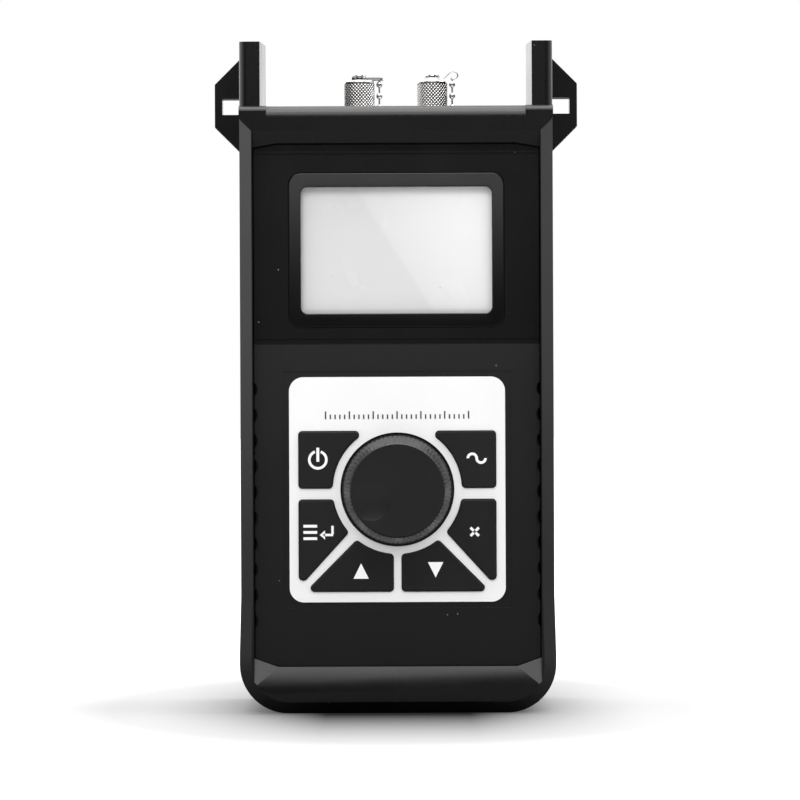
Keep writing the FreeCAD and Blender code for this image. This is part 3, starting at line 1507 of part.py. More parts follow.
def main():
    """Make every sub-part, check them and write them."""
    make_rubber_boot()
    make_front_shell()
    make_rear_shell()
    make_battery_door()
    make_end_plate()
    make_display()
    make_keypad_bezel()
    make_keypad_mat()
    for key in KEYS:
        make_key(key)
    make_knob()
    make_encoder()
    make_encoder_nut()
    make_main_board()
    make_attenuator_module()
    for side, word in ((-1, "left"), (1, "right")):
        make_port(side, word)
        make_dust_cap(side, word)
        make_tether_tab(side, word)
        make_chain(side, word)
    make_batteries()
    make_screws()
    check_model()
    write_parts()


main()
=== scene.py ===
"""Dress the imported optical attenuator: boot, housing, display, keypad, knob and fibre ports.

Every length is in metres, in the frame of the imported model, unless its name ends in _mm or
its class says that its sizes are in mm. MM turns those into metres.
"""
import json
import logging
import math
from collections.abc import Iterable, Sequence
from dataclasses import dataclass, field
from enum import Enum

import bmesh
import bpy
from mathutils import Matrix, Vector

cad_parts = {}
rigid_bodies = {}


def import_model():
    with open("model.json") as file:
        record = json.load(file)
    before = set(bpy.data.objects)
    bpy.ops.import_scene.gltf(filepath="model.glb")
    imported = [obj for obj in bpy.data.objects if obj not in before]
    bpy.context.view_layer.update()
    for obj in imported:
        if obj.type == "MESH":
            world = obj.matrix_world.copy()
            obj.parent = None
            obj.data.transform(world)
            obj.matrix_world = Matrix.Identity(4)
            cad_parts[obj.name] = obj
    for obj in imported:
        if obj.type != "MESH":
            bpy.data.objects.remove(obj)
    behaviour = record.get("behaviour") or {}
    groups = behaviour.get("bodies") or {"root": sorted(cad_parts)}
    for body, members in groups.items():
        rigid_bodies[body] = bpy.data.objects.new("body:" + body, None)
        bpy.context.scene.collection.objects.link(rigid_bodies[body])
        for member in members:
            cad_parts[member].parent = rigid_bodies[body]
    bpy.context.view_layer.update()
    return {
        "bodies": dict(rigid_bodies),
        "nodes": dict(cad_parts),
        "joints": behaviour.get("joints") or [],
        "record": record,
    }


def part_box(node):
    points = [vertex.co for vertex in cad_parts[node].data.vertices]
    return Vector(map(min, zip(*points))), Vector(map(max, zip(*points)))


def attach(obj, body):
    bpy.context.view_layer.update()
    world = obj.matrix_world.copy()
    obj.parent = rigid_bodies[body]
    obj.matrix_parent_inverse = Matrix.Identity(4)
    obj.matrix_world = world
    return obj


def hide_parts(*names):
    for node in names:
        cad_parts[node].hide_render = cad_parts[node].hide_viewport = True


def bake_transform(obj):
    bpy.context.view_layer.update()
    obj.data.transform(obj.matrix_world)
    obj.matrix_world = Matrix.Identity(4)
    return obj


LOG = logging.getLogger("attenuator")
MM = 0.001
FORWARD = Vector((0.0, -1.0, 0.0))
UP = Vector((0.0, 0.0, 1.0))
FULL_TURN = 2.0 * math.pi
SHARP_DEG = 32.0
MERGE_PACKED = 1e-6
MERGE_OWN = 1e-7
BEVEL_STEPS = 3
CORNER_STEPS = 10
SHOULDER_ARC = (15.0, 90.0, 5)
WIRE_SIDES = 3
WIRE_STEPS = 8
MIX_INPUTS = (6, 7)
MIX_RESULT = 2
CELL_SHARE = 0.5
BLACK = (0.0, 0.0, 0.0)
WHITE_LIGHT = (1.0, 1.0, 1.0, 1.0)

Colour = tuple[float, float, float]
Place = tuple[float, float, float]
Point = tuple[float, float]
Span = tuple[float, float]

DRIFT_SPAN: Span = (0.3, 0.7)
STREAK_SPAN: Span = (0.52, 0.75)


class Side(Enum):
    """The two fibre ports, seen from the front, with the sign of their place across."""

    LEFT = -1
    RIGHT = 1

    @property
    def word(self) -> str:
        """The side's name as the nodes spell it."""
        return self.name.lower()


class Graph:
    """A short way to write the nodes and links of one shader tree."""

    def __init__(self, tree: bpy.types.NodeTree) -> None:
        """Start with an empty tree, of a material, a world or a node group."""
        self.tree = tree
        tree.nodes.clear()

    def add(self, kind: str, inputs: dict[str | int, object] | None = None,
            **settings: object) -> bpy.types.Node:
        """Make a node, set its properties, and give its inputs values or links.

        Args:
            kind: The node's type name.
            inputs: Values or output sockets, by input name or number.
            **settings: Properties of the node itself.

        Returns:
            The new node.
        """
        node = self.tree.nodes.new(kind)
        for name, value in settings.items():
            setattr(node, name, value)
        self.feed(node, inputs or {})
        return node

    def feed(self, node: bpy.types.Node, inputs: dict[str | int, object]) -> None:
        """Give a node's inputs values or links.

        Args:
            node: The node.
            inputs: Values or output sockets, by input name or number.
        """
        for name, value in inputs.items():
            socket = node.inputs[name]
            if isinstance(value, bpy.types.NodeSocket):
                self.tree.links.new(value, socket)
            else:
                socket.default_value = value

    def math(self, operation: str, *values: object) -> bpy.types.NodeSocket:
        """Add a Math node over values or sockets, and return its output."""
        inputs = dict(enumerate(values))
        return self.add("ShaderNodeMath", inputs, operation=operation).outputs[0]

    def remap(self, value: object, low: float, high: float, to_low: float,
              to_high: float) -> bpy.types.NodeSocket:
        """Map a range of a socket's values to another range, clamped.

        Args:
            value: The socket to read.
            low: The value that becomes to_low.
            high: The value that becomes to_high.
            to_low: The lowest result.
            to_high: The highest result.

        Returns:
            The mapped socket.
        """
        inputs = {"Value": value, "From Min": low, "From Max": high,
                  "To Min": to_low, "To Max": to_high}
        return self.add("ShaderNodeMapRange", inputs).outputs["Result"]

    def mix(self, share: object, first: object, second: object) -> bpy.types.NodeSocket:
        """Mix two colours by a share.

        Args:
            share: How much of the second colour shows.
            first: The colour at 0.
            second: The colour at 1.

        Returns:
            The mixed colour.
        """
        inputs = {number: value if isinstance(value, bpy.types.NodeSocket) else (*value, 1.0)
                  for number, value in zip(MIX_INPUTS, (first, second))}
        node = self.add("ShaderNodeMix", {0: share, **inputs}, data_type="RGBA")
        return node.outputs[MIX_RESULT]

    def bump(self, height: bpy.types.NodeSocket, depth_mm: float,
             strength: float) -> bpy.types.NodeSocket:
        """Tilt the surface by a height that spans this depth, and return the normal."""
        return self.add("ShaderNodeBump", {
            "Height": height, "Distance": depth_mm * MM, "Strength": strength}).outputs[0]


def new_group(name: str, inputs: dict[str, float], outputs: Sequence[str]) -> tuple[
        bpy.types.NodeTree, Graph, bpy.types.Node, bpy.types.Node]:
    """Make an empty shader node group with number sockets.

    Args:
        name: The group's name.
        inputs: Each input's name and first value.
        outputs: The names of the outputs.

    Returns:
        The group, its graph, its input node and its output node.
    """
    tree = bpy.data.node_groups.new(name, "ShaderNodeTree")
    for label, value in inputs.items():
        socket = tree.interface.new_socket(label, in_out="INPUT", socket_type="NodeSocketFloat")
        socket.default_value = value
    for label in outputs:
        tree.interface.new_socket(label, in_out="OUTPUT", socket_type="NodeSocketFloat")
    graph = Graph(tree)
    return tree, graph, graph.add("NodeGroupInput"), graph.add("NodeGroupOutput")


def object_place(graph: Graph) -> bpy.types.NodeSocket:
    """The place of a point on the piece, in metres."""
    return graph.add("ShaderNodeTexCoord").outputs["Object"]


def split_place(graph: Graph) -> bpy.types.Node:
    """The node whose outputs X, Y and Z are the place of a point on the piece."""
    return graph.add("ShaderNodeSeparateXYZ", {"Vector": object_place(graph)})


def grain_group() -> bpy.types.NodeTree:
    """The fine grain of a moulded surface, and the slow drift of its tone.

    Returns:
        A group with Height for the grain and Tone for the drift, both from 0 to 1.
    """
    tree, graph, start, end = new_group(
        "moulded_grain", {"Grain": 1800.0, "Drift": 30.0}, ("Height", "Tone"))
    place = object_place(graph)
    fine = graph.add("ShaderNodeTexNoise", {
        "Vector": place, "Scale": start.outputs["Grain"], "Detail": 3.0, "Roughness": 0.6})
    cells = graph.add("ShaderNodeTexVoronoi", {
        "Vector": place, "Scale": start.outputs["Grain"]}, feature="SMOOTH_F1")
    broad = graph.add("ShaderNodeTexNoise", {
        "Vector": place, "Scale": start.outputs["Drift"], "Detail": 4.0, "Roughness": 0.55})
    height = graph.math("MULTIPLY_ADD", cells.outputs["Distance"], CELL_SHARE,
                        fine.outputs["Fac"])
    tone = graph.remap(broad.outputs["Fac"], *DRIFT_SPAN, 0.0, 1.0)
    graph.feed(end, {"Height": height, "Tone": tone})
    return tree


def specks_group() -> bpy.types.NodeTree:
    """Small pale specks of dust and lint, thinly scattered.

    Returns:
        A group with Mask, which is 1 on a speck.
    """
    tree, graph, start, end = new_group(
        "dust_specks", {"Scale": 260.0, "Share": 0.1, "Width": 0.07}, ("Mask",))
    cells = graph.add("ShaderNodeTexVoronoi", {
        "Vector": object_place(graph), "Scale": start.outputs["Scale"]})
    chosen = graph.math("LESS_THAN", graph.add("ShaderNodeSeparateColor", {
        "Color": cells.outputs["Color"]}).outputs[0], start.outputs["Share"])
    small = graph.math("LESS_THAN", cells.outputs["Distance"], start.outputs["Width"])
    graph.feed(end, {"Mask": graph.math("MULTIPLY", chosen, small)})
    return tree


def scuff_group() -> bpy.types.NodeTree:
    """Short faint scuffs and wipes, which change how a surface shines.

    Returns:
        A group with Mask, from 0 on clean surface to 1 on a scuff.
    """
    tree, graph, start, end = new_group("scuffs", {"Scale": 55.0}, ("Mask",))
    place = graph.add("ShaderNodeMapping", {
        "Vector": object_place(graph), "Rotation": (0.3, 0.6, 0.9), "Scale": (1.0, 1.0, 0.12)})
    streaks = graph.add("ShaderNodeTexNoise", {
        "Vector": place.outputs[0], "Scale": start.outputs["Scale"], "Detail": 6.0,
        "Roughness": 0.7})
    graph.feed(end, {"Mask": graph.remap(streaks.outputs["Fac"], *STREAK_SPAN, 0.0, 1.0)})
    return tree


class Effects:
    """The shared effects, each built once and placed in a material with its own values."""

    def __init__(self) -> None:
        """Build the three groups."""
        self.grain = grain_group()
        self.specks = specks_group()
        self.scuffs = scuff_group()

    def place(self, graph: Graph, tree: bpy.types.NodeTree,
              values: dict[str, float]) -> bpy.types.Node:
        """Place one of the groups in a material's graph, with this material's values."""
        return graph.add("ShaderNodeGroup", values, node_tree=tree)


def new_material(name: str, colour: Colour) -> tuple[bpy.types.Material, Graph, bpy.types.Node]:
    """Make a material with one Principled shader.

    Args:
        name: The material's name.
        colour: The plain colour that viewports show.

    Returns:
        The material, its graph and the shader.
    """
    material = bpy.data.materials.new(name)
    material.use_nodes = True
    material.diffuse_color = (*colour, 1.0)
    graph = Graph(material.node_tree)
    shader = graph.add("ShaderNodeBsdfPrincipled")
    graph.add("ShaderNodeOutputMaterial", {"Surface": shader.outputs[0]})
    return material, graph, shader


@dataclass(frozen=True)
class Moulded:
    """A moulded rubber or plastic: a grained surface with drift, scuffs and dust, and where set,
    painted light that grows lighter up to a height.
    """

    name: str
    slot: str
    dark: Colour
    light: Colour
    roughness: float
    rough_drift: float = 0.08
    specular: float = 0.3
    grain: float = 1800.0
    grain_depth_mm: float = 0.03
    drift: float = 30.0
    dust: Colour = (0.35, 0.35, 0.34)
    dust_share: float = 0.0
    dust_scale: float = 260.0
    scuff: float = 0.0
    scuff_gain: float = 1.8
    scuff_least: float = 0.01
    scuff_shine: float = 0.15
    bump: float = 0.6
    # Painted light: an optional lighter tone that the colour grows to with height, up to a level
    # above which it is plain.
    worn: Colour | None = None
    worn_low_mm: float = 0.0
    worn_high_mm: float = 0.0

    def build(self, effects: Effects) -> bpy.types.Material:
        """Make the material.

        Args:
            effects: The shared groups.

        Returns:
            The material.
        """
        material, graph, shader = new_material(self.name, self.dark)
        grain = effects.place(graph, effects.grain, {"Grain": self.grain, "Drift": self.drift})
        colour = graph.mix(grain.outputs["Tone"], self.dark, self.light)
        rough = graph.remap(
            grain.outputs["Tone"], 0.0, 1.0, self.roughness - self.rough_drift,
            self.roughness + self.rough_drift)
        # Painted light: from the plain tone at the lower height to the lighter tone just under the
        # upper one, plain above it.
        if self.worn:
            height = split_place(graph).outputs["Z"]
            low, high = self.worn_low_mm * MM, self.worn_high_mm * MM
            under = graph.math("LESS_THAN", height, high)
            share = graph.math("MULTIPLY", under, graph.remap(height, low, high, 0.0, 1.0))
            colour = graph.mix(share, colour, self.worn)
        if self.scuff:
            scuffs = effects.place(graph, effects.scuffs, {})
            share = graph.math("MULTIPLY", scuffs.outputs["Mask"], self.scuff)
            pale = tuple(min(1.0, c * self.scuff_gain + self.scuff_least) for c in self.light)
            colour = graph.mix(share, colour, pale)
            rough = graph.math("SUBTRACT", rough, graph.math("MULTIPLY", share, self.scuff_shine))
        if self.dust_share:
            specks = effects.place(graph, effects.specks, {
                "Scale": self.dust_scale, "Share": self.dust_share})
            colour = graph.mix(specks.outputs["Mask"], colour, self.dust)
        bump = graph.bump(grain.outputs["Height"], self.grain_depth_mm, self.bump)
        graph.feed(shader, {"Base Color": colour, "Roughness": rough, "Normal": bump,
                            "Specular IOR Level": self.specular})
        return material


@dataclass(frozen=True)
class Metal:
    """A plated or turned metal: fine tool marks, and painted shade in the grooves of a knurl."""

    name: str
    slot: str
    bright: Colour
    dull: Colour
    roughness: float
    marks: float = 900.0
    marks_depth_mm: float = 0.004
    drift: float = 220.0
    scuff_scale: float = 160.0
    scuff_rough: float = 0.12
    bump: float = 0.5
    # Painted shade: the dark colour at the bottom of the knurl's grooves.
    grime: Colour | None = None
    knurl_axis_mm: Point = (0.0, 0.0)
    knurl_low_mm: float = 0.0
    knurl_high_mm: float = 0.0
    knurl_wall_mm: float = 0.5
    knurl_top_mm: float = 0.0

    def build(self, effects: Effects) -> bpy.types.Material:
        """Make the material.

        Args:
            effects: The shared groups.

        Returns:
            The material.
        """
        material, graph, shader = new_material(self.name, self.bright)
        grain = effects.place(graph, effects.grain, {"Grain": self.marks, "Drift": self.drift})
        scuffs = effects.place(graph, effects.scuffs, {"Scale": self.scuff_scale})
        colour = graph.mix(grain.outputs["Tone"], self.bright, self.dull)
        # Painted shade: darker down in the knurl's grooves.
        if self.grime:
            colour = graph.mix(self.in_grooves(graph), colour, self.grime)
        rough = graph.math("ADD", self.roughness, graph.math(
            "MULTIPLY", scuffs.outputs["Mask"], self.scuff_rough))
        bump = graph.bump(grain.outputs["Height"], self.marks_depth_mm, self.bump)
        graph.feed(shader, {"Base Color": colour, "Roughness": rough, "Normal": bump,
                            "Metallic": 1.0})
        return material

    def in_grooves(self, graph: Graph) -> bpy.types.NodeSocket:
        """How deep a point lies in the knurl round either of two upright axes.

        Args:
            graph: The material's graph.

        Returns:
            From 0 on the ridges to 1 at the bottom of the grooves.
        """
        place = split_place(graph)
        across = graph.math("SUBTRACT", graph.math("ABSOLUTE", place.outputs["X"]),
                            self.knurl_axis_mm[0] * MM)
        along = graph.math("SUBTRACT", place.outputs["Y"], self.knurl_axis_mm[1] * MM)
        radius = graph.math("SQRT", graph.math(
            "ADD", graph.math("MULTIPLY", across, across), graph.math("MULTIPLY", along, along)))
        low = self.knurl_low_mm * MM
        deep = graph.remap(radius, low, self.knurl_high_mm * MM, 1.0, 0.0)
        outside = graph.math("GREATER_THAN", radius, low - self.knurl_wall_mm * MM)
        under = graph.math("LESS_THAN", place.outputs["Z"], self.knurl_top_mm * MM)
        return graph.math("MULTIPLY", deep, graph.math("MULTIPLY", outside, under))


@dataclass(frozen=True)
class ScreenGlass:
    """The face of the liquid-crystal panel: pale, with a painted reflection in a slanting band of
    sheen, and painted shade along its left and bottom edges.
    """

    name: str = "liquid_crystal"
    slot: str = "lcd_glass"
    shade: Colour = (0.7, 0.7, 0.7)
    # Painted reflection: the paler tone of the slanting band of sheen.
    sheen: Colour = (0.9, 0.9, 0.9)
    # Painted shade: the grey that the left and bottom edges of the face darken to.
    border: Colour = (0.5, 0.5, 0.5)
    band_top_mm: float = -14.2
    band_foot_mm: float = 13.3
    band_width_mm: float = 0.8
    fade_width_mm: float = 30.0
    side_mm: float = -29.3
    side_shade_mm: float = 0.8
    foot_mm: float = 122.5
    foot_shade_mm: float = 1.7
    edge_share: float = 0.25
    fade_share: float = 0.75
    grain: float = 3000.0
    drift: float = 60.0
    rough: Span = (0.22, 0.3)
    specular: float = 0.3

    def build(self, effects: Effects) -> bpy.types.Material:
        """Make the material.

        Args:
            effects: The shared groups.

        Returns:
            The material.
        """
        material, graph, shader = new_material(self.name, self.sheen)
        low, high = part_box("lcd_panel")
        place = split_place(graph)
        across, height = place.outputs["X"], place.outputs["Z"]
        up = graph.remap(height, low[2], high[2], 0.0, 1.0)
        # Painted reflection: a slanting band of sheen across the face, with a soft edge and a
        # fade.
        line = graph.remap(up, 0.0, 1.0, self.band_foot_mm * MM, self.band_top_mm * MM)
        beyond = graph.math("SUBTRACT", across, line)
        width = self.band_width_mm * MM
        edge = graph.remap(beyond, -width, width, 0.0, 1.0)
        fade = graph.remap(beyond, 0.0, self.fade_width_mm * MM, 0.0, 1.0)
        share = graph.math("ADD", graph.math("MULTIPLY", edge, self.edge_share),
                           graph.math("MULTIPLY", fade, self.fade_share))
        # Painted shade along the left and bottom edges of the window.
        side = graph.remap(across, self.side_mm * MM, (self.side_mm + self.side_shade_mm) * MM,
                           1.0, 0.0)
        foot = graph.remap(height, self.foot_mm * MM, (self.foot_mm + self.foot_shade_mm) * MM,
                           1.0, 0.0)
        grain = effects.place(graph, effects.grain, {"Grain": self.grain, "Drift": self.drift})
        colour = graph.mix(graph.math("MAXIMUM", side, foot),
                           graph.mix(share, self.shade, self.sheen), self.border)
        rough = graph.remap(grain.outputs["Tone"], 0.0, 1.0, *self.rough)
        graph.feed(shader, {"Base Color": colour, "Roughness": rough,
                            "Specular IOR Level": self.specular})
        return material


@dataclass(frozen=True)
class ClearWindow:
    """The clear part of the display lens, with a little dust."""

    name: str = "clear_window"
    slot: str = "lens_glass"
    tint: Colour = (0.5, 0.5, 0.5)
    cover: float = 0.03
    dust_cover: float = 0.35
    dust_scale: float = 300.0
    dust_share: float = 0.02
    dust_width: float = 0.1
    grain: float = 900.0
    drift: float = 50.0
    rough: Span = (0.03, 0.08)

    def build(self, effects: Effects) -> bpy.types.Material:
        """Make the material.

        Args:
            effects: The shared groups.

        Returns:
            The material.
        """
        material, graph, shader = new_material(self.name, self.tint)
        specks = effects.place(graph, effects.specks, {
            "Scale": self.dust_scale, "Share": self.dust_share, "Width": self.dust_width})
        alpha = graph.remap(specks.outputs["Mask"], 0.0, 1.0, self.cover, self.dust_cover)
        grain = effects.place(graph, effects.grain, {"Grain": self.grain, "Drift": self.drift})
        rough = graph.remap(grain.outputs["Tone"], 0.0, 1.0, *self.rough)
        graph.feed(shader, {"Base Color": (*self.tint, 1.0), "Alpha": alpha, "Roughness": rough})
        return material


@dataclass(frozen=True)
class Backdrop:
    """The white floor: lit like paper, carried to white in the picture, and with a painted shadow
    round the foot.
    """

    name: str = "studio_floor"
    slot: str = ""
    colour: Colour = (0.4, 0.4, 0.4)
    mirrored: Colour = (0.2, 0.2, 0.2)
    roughness: float = 0.9
    near: float = 0.09
    far: float = 0.18
    lift_near: float = 0.24
    lift_far: float = 1.0
    shade_front_mm: float = -21.6
    shade_ahead_mm: float = 95.0
    shade_behind_mm: float = 150.0
    shade_core_mm: float = 22.0
    shade_side_mm: float = 78.0
    shade_fall: float = 1.6
    shade_share: float = 0.96

    def build(self, effects: Effects) -> bpy.types.Material:
        """Make the material.

        Args:
            effects: The shared groups, which this material doesn't use.

        Returns:
            The material.
        """
        material, graph, shader = new_material(self.name, self.colour)
        path = graph.add("ShaderNodeLightPath")
        painted_shadow = self.contact_shade(graph)
        paper = graph.mix(path.outputs["Is Glossy Ray"], self.colour, self.mirrored)
        distance = graph.add("ShaderNodeVectorMath", {0: object_place(graph)},
                             operation="LENGTH").outputs["Value"]
        lift = graph.remap(distance, self.near, self.far, self.lift_near, self.lift_far)
        glow = graph.math("MULTIPLY", graph.math("MULTIPLY", path.outputs["Is Camera Ray"], lift),
                          graph.math("SUBTRACT", 1.0, painted_shadow))
        graph.feed(shader, {
            # The painted shadow darkens the floor's colour and its glow.
            "Base Color": graph.mix(painted_shadow, paper, BLACK), "Roughness": self.roughness,
            "Specular IOR Level": 0.0, "Emission Color": WHITE_LIGHT,
            "Emission Strength": glow})
        return material

    def contact_shade(self, graph: Graph) -> bpy.types.NodeSocket:
        """The painted shadow round the foot, soft and spreading forward.

        Args:
            graph: The material's graph.

        Returns:
            How dark the floor is there, from 0 to 1.
        """
        place = split_place(graph)
        front = self.shade_front_mm * MM
        ahead = graph.math("POWER", graph.remap(
            place.outputs["Y"], front - self.shade_ahead_mm * MM, front, 0.0, 1.0),
            self.shade_fall)
        behind = graph.remap(
            place.outputs["Y"], front, front + self.shade_behind_mm * MM, 1.0, 0.0)
        beside = graph.math("POWER", graph.remap(
            graph.math("ABSOLUTE", place.outputs["X"]), self.shade_core_mm * MM,
            self.shade_side_mm * MM, 1.0, 0.0), self.shade_fall)
        along = graph.math("MINIMUM", ahead, behind)
        return graph.math("MULTIPLY", graph.math("MULTIPLY", along, beside), self.shade_share)


RUBBER = Moulded(
    "boot_rubber", "boot_rubber", (0.0025, 0.0025, 0.0026), (0.0035, 0.0035, 0.0037), 0.26,
    rough_drift=0.04, specular=0.4, grain=1500.0, grain_depth_mm=0.006, dust_share=0.09,
    dust_scale=330.0, dust=(0.13, 0.13, 0.128), scuff=0.1)
# The case's painted light makes its front lighter upwards, to just under 113 mm.
CASE = Moulded(
    "case_plastic", "case_plastic", (0.0035, 0.0035, 0.0037), (0.005, 0.005, 0.0052), 0.2,
    rough_drift=0.04, specular=0.32, grain=2400.0, grain_depth_mm=0.004, dust_share=0.05,
    dust_scale=330.0, dust=(0.16, 0.16, 0.158), scuff=0.08, worn=(0.017, 0.017, 0.0172),
    worn_low_mm=10.0, worn_high_mm=113.0)
LENS_BORDER = Moulded(
    "lens_border", "lens_glass", (0.003, 0.003, 0.003), (0.004, 0.004, 0.004), 0.08,
    rough_drift=0.02, specular=0.5, grain=900.0, grain_depth_mm=0.001, dust_share=0.02,
    dust_scale=300.0, dust=(0.12, 0.12, 0.12))
FRAME_PLASTIC = Moulded(
    "frame_plastic", "frame_plastic", (0.62, 0.62, 0.61), (0.68, 0.68, 0.67), 0.6)
PANEL = Moulded(
    "panel_white", "panel_white", (0.83, 0.83, 0.83), (0.86, 0.86, 0.86), 0.42,
    rough_drift=0.05, specular=0.4, grain=2600.0, grain_depth_mm=0.012,
    dust=(0.6, 0.6, 0.59), dust_share=0.01)
KEY_RUBBER = Moulded(
    "key_rubber", "key_rubber", (0.009, 0.009, 0.0093), (0.011, 0.011, 0.0114), 0.55,
    specular=0.2, grain=2600.0, grain_depth_mm=0.02, dust_share=0.02, scuff=0.08)
MAT_RUBBER = Moulded("mat_rubber", "mat_rubber", (0.42, 0.42, 0.41), (0.48, 0.48, 0.47), 0.75)
KNOB = Moulded(
    "knob_plastic", "knob_plastic", (0.007, 0.007, 0.0072), (0.009, 0.009, 0.0093), 0.32,
    specular=0.5, grain=2600.0, grain_depth_mm=0.012, dust_share=0.02, scuff=0.1)
WHITE_INK = Moulded(
    "white_print", "panel_white", (0.86, 0.86, 0.86), (0.9, 0.9, 0.9), 0.6,
    specular=0.2, grain=3500.0, grain_depth_mm=0.008)
GREY_INK = Moulded(
    "grey_print", "case_plastic", (0.03, 0.03, 0.03), (0.05, 0.05, 0.05), 0.6,
    specular=0.2, grain=3500.0, grain_depth_mm=0.008)
BOARD = Moulded(
    "circuit_board", "board_green", (0.02, 0.12, 0.05), (0.03, 0.17, 0.07), 0.4,
    specular=0.5, grain=900.0, grain_depth_mm=0.02)
PLUG = Moulded("plug_plastic", "plug_plastic", (0.03, 0.09, 0.3), (0.04, 0.12, 0.36), 0.4)
JACKET = Moulded("fibre_jacket", "fibre_jacket", (0.65, 0.5, 0.06), (0.72, 0.57, 0.09), 0.4)
CERAMIC = Moulded(
    "ceramic", "ceramic", (0.85, 0.85, 0.81), (0.9, 0.9, 0.87), 0.15, specular=0.5,
    grain_depth_mm=0.002)
CELL = Moulded(
    "cell_jacket", "cell_jacket", (0.11, 0.12, 0.14), (0.15, 0.16, 0.19), 0.35, specular=0.5)
STEEL = Metal("steel", "steel", (0.55, 0.55, 0.56), (0.42, 0.42, 0.43), 0.28)
NICKEL = Metal("nickel", "nickel", (0.74, 0.73, 0.71), (0.58, 0.57, 0.56), 0.14)
# Painted shade darkens the knurl's grooves.
KNURLED_NICKEL = Metal(
    "knurled_nickel", "nickel", (0.74, 0.73, 0.71), (0.58, 0.57, 0.56), 0.12,
    grime=(0.14, 0.14, 0.14), knurl_axis_mm=(11.4, 1.4), knurl_low_mm=4.59,
    knurl_high_mm=4.68, knurl_wall_mm=0.4, knurl_top_mm=194.9)
ALUMINIUM = Metal("aluminium", "aluminium", (0.66, 0.66, 0.67), (0.55, 0.55, 0.56), 0.34)
SCREEN = ScreenGlass()
WINDOW = ClearWindow()
FLOOR = Backdrop()

Finish = Moulded | Metal | ScreenGlass | ClearWindow | Backdrop
FINISHES: tuple[Finish, ...] = (
    RUBBER, CASE, LENS_BORDER, FRAME_PLASTIC, PANEL, KEY_RUBBER, MAT_RUBBER, KNOB, WHITE_INK,
    GREY_INK, BOARD, PLUG, JACKET, CERAMIC, CELL, STEEL, NICKEL, KNURLED_NICKEL, ALUMINIUM,
    SCREEN, WINDOW, FLOOR)


def as_mesh(name: str, shape: bmesh.types.BMesh) -> bpy.types.Mesh:
    """Turn a shape into a mesh, and free the shape.

    Args:
        name: The mesh's name.
        shape: The shape.

    Returns:
        The mesh.
    """
    mesh = bpy.data.meshes.new(name)
    shape.to_mesh(mesh)
    shape.free()
    return mesh


def put(name: str, data: bpy.types.ID) -> bpy.types.Object:
    """Put an object in the scene.

    Args:
        name: The object's name.
        data: The mesh, curve, camera or light that it shows.

    Returns:
        The object.
    """
    made = bpy.data.objects.new(name, data)
    bpy.context.scene.collection.objects.link(made)
    return made


class Workshop:
    """What every sub-assembly needs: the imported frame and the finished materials."""

    def __init__(self, frame: dict) -> None:
        """Build the effects and every finish.
        """
        self.nodes = frame["nodes"]
        effects = Effects()
        self.materials = {finish.name: finish.build(effects) for finish in FINISHES}
        self.body_of_node = {
            node: body
            for body, nodes in frame["record"]["behaviour"]["bodies"].items()
            for node in nodes
        }

    def material(self, finish: Finish) -> bpy.types.Material:
        """The built material of a finish."""
        return self.materials[finish.name]

    def paint(self, node: str, finish: Finish) -> None:
        """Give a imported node, whose shape stays, its finish.

        Args:
            node: The node's name.
            finish: The finish.
        """
        target = self.nodes[node]
        if not target.material_slots:
            target.data.materials.append(None)
        for slot in target.material_slots:
            slot.material = self.material(finish)
        LOG.info("%s keeps its shape, in %s", node, finish.name)

    def merged_copy(self, node: str) -> bmesh.types.BMesh:
        """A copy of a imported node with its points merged.

        Args:
            node: The node's name.

        Returns:
            The copy, open for editing.
        """
        shape = bmesh.new()
        shape.from_mesh(self.nodes[node].data)
        bmesh.ops.remove_doubles(shape, verts=shape.verts, dist=MERGE_PACKED)
        return shape

    def piece(self, name: str, shape: bmesh.types.BMesh, finish: Finish, body: str | None,
              replaces: Sequence[str] = (), smooth_deg: float = SHARP_DEG,
              bevel_mm: float = 0.0) -> bpy.types.Object:
        """Turn an edited shape into a finished piece.

        Args:
            name: The piece's name.
            shape: The shape, which is freed.
            finish: What it is made of.
            body: The body that it rides on, or None where the caller binds it.
            replaces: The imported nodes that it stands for.
            smooth_deg: Edges sharper than this stay sharp.
            bevel_mm: The width of a soft edge that a modifier gives, or 0.

        Returns:
            The new object.
        """
        mesh = as_mesh(name, shape)
        mesh.polygons.foreach_set("use_smooth", [True] * len(mesh.polygons))
        mesh.set_sharp_from_angle(angle=math.radians(smooth_deg))
        mesh.materials.append(self.material(finish))
        made = put(name, mesh)
        if bevel_mm:
            bevel = made.modifiers.new("soft_edges", "BEVEL")
            bevel.width = bevel_mm * MM
            bevel.segments = BEVEL_STEPS
            bevel.limit_method = "ANGLE"
            bevel.angle_limit = math.radians(smooth_deg)
            bevel.harden_normals = False
            bevel.use_clamp_overlap = True
            bevel.miter_outer = "MITER_ARC"
        normals = made.modifiers.new("even_normals", "WEIGHTED_NORMAL")
        normals.keep_sharp = not bevel_mm
        if body:
            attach(made, body)
        if replaces:
            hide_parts(*replaces)
        LOG.info("%s: %d faces, in %s", name, len(mesh.polygons), finish.name)
        return made

    def dressed(self, node: str, finish: Finish, bevel_mm: float = 0.0) -> bpy.types.Object:
        """A node's own shape with soft edges and even shading, in its place.

        Args:
            node: The node's name.
            finish: What it is made of.
            bevel_mm: The width of its soft edges.

        Returns:
            The piece.
        """
        return self.piece(
            f"{node}_dressed", self.merged_copy(node), finish, self.body_of_node[node],
            (node,), bevel_mm=bevel_mm)


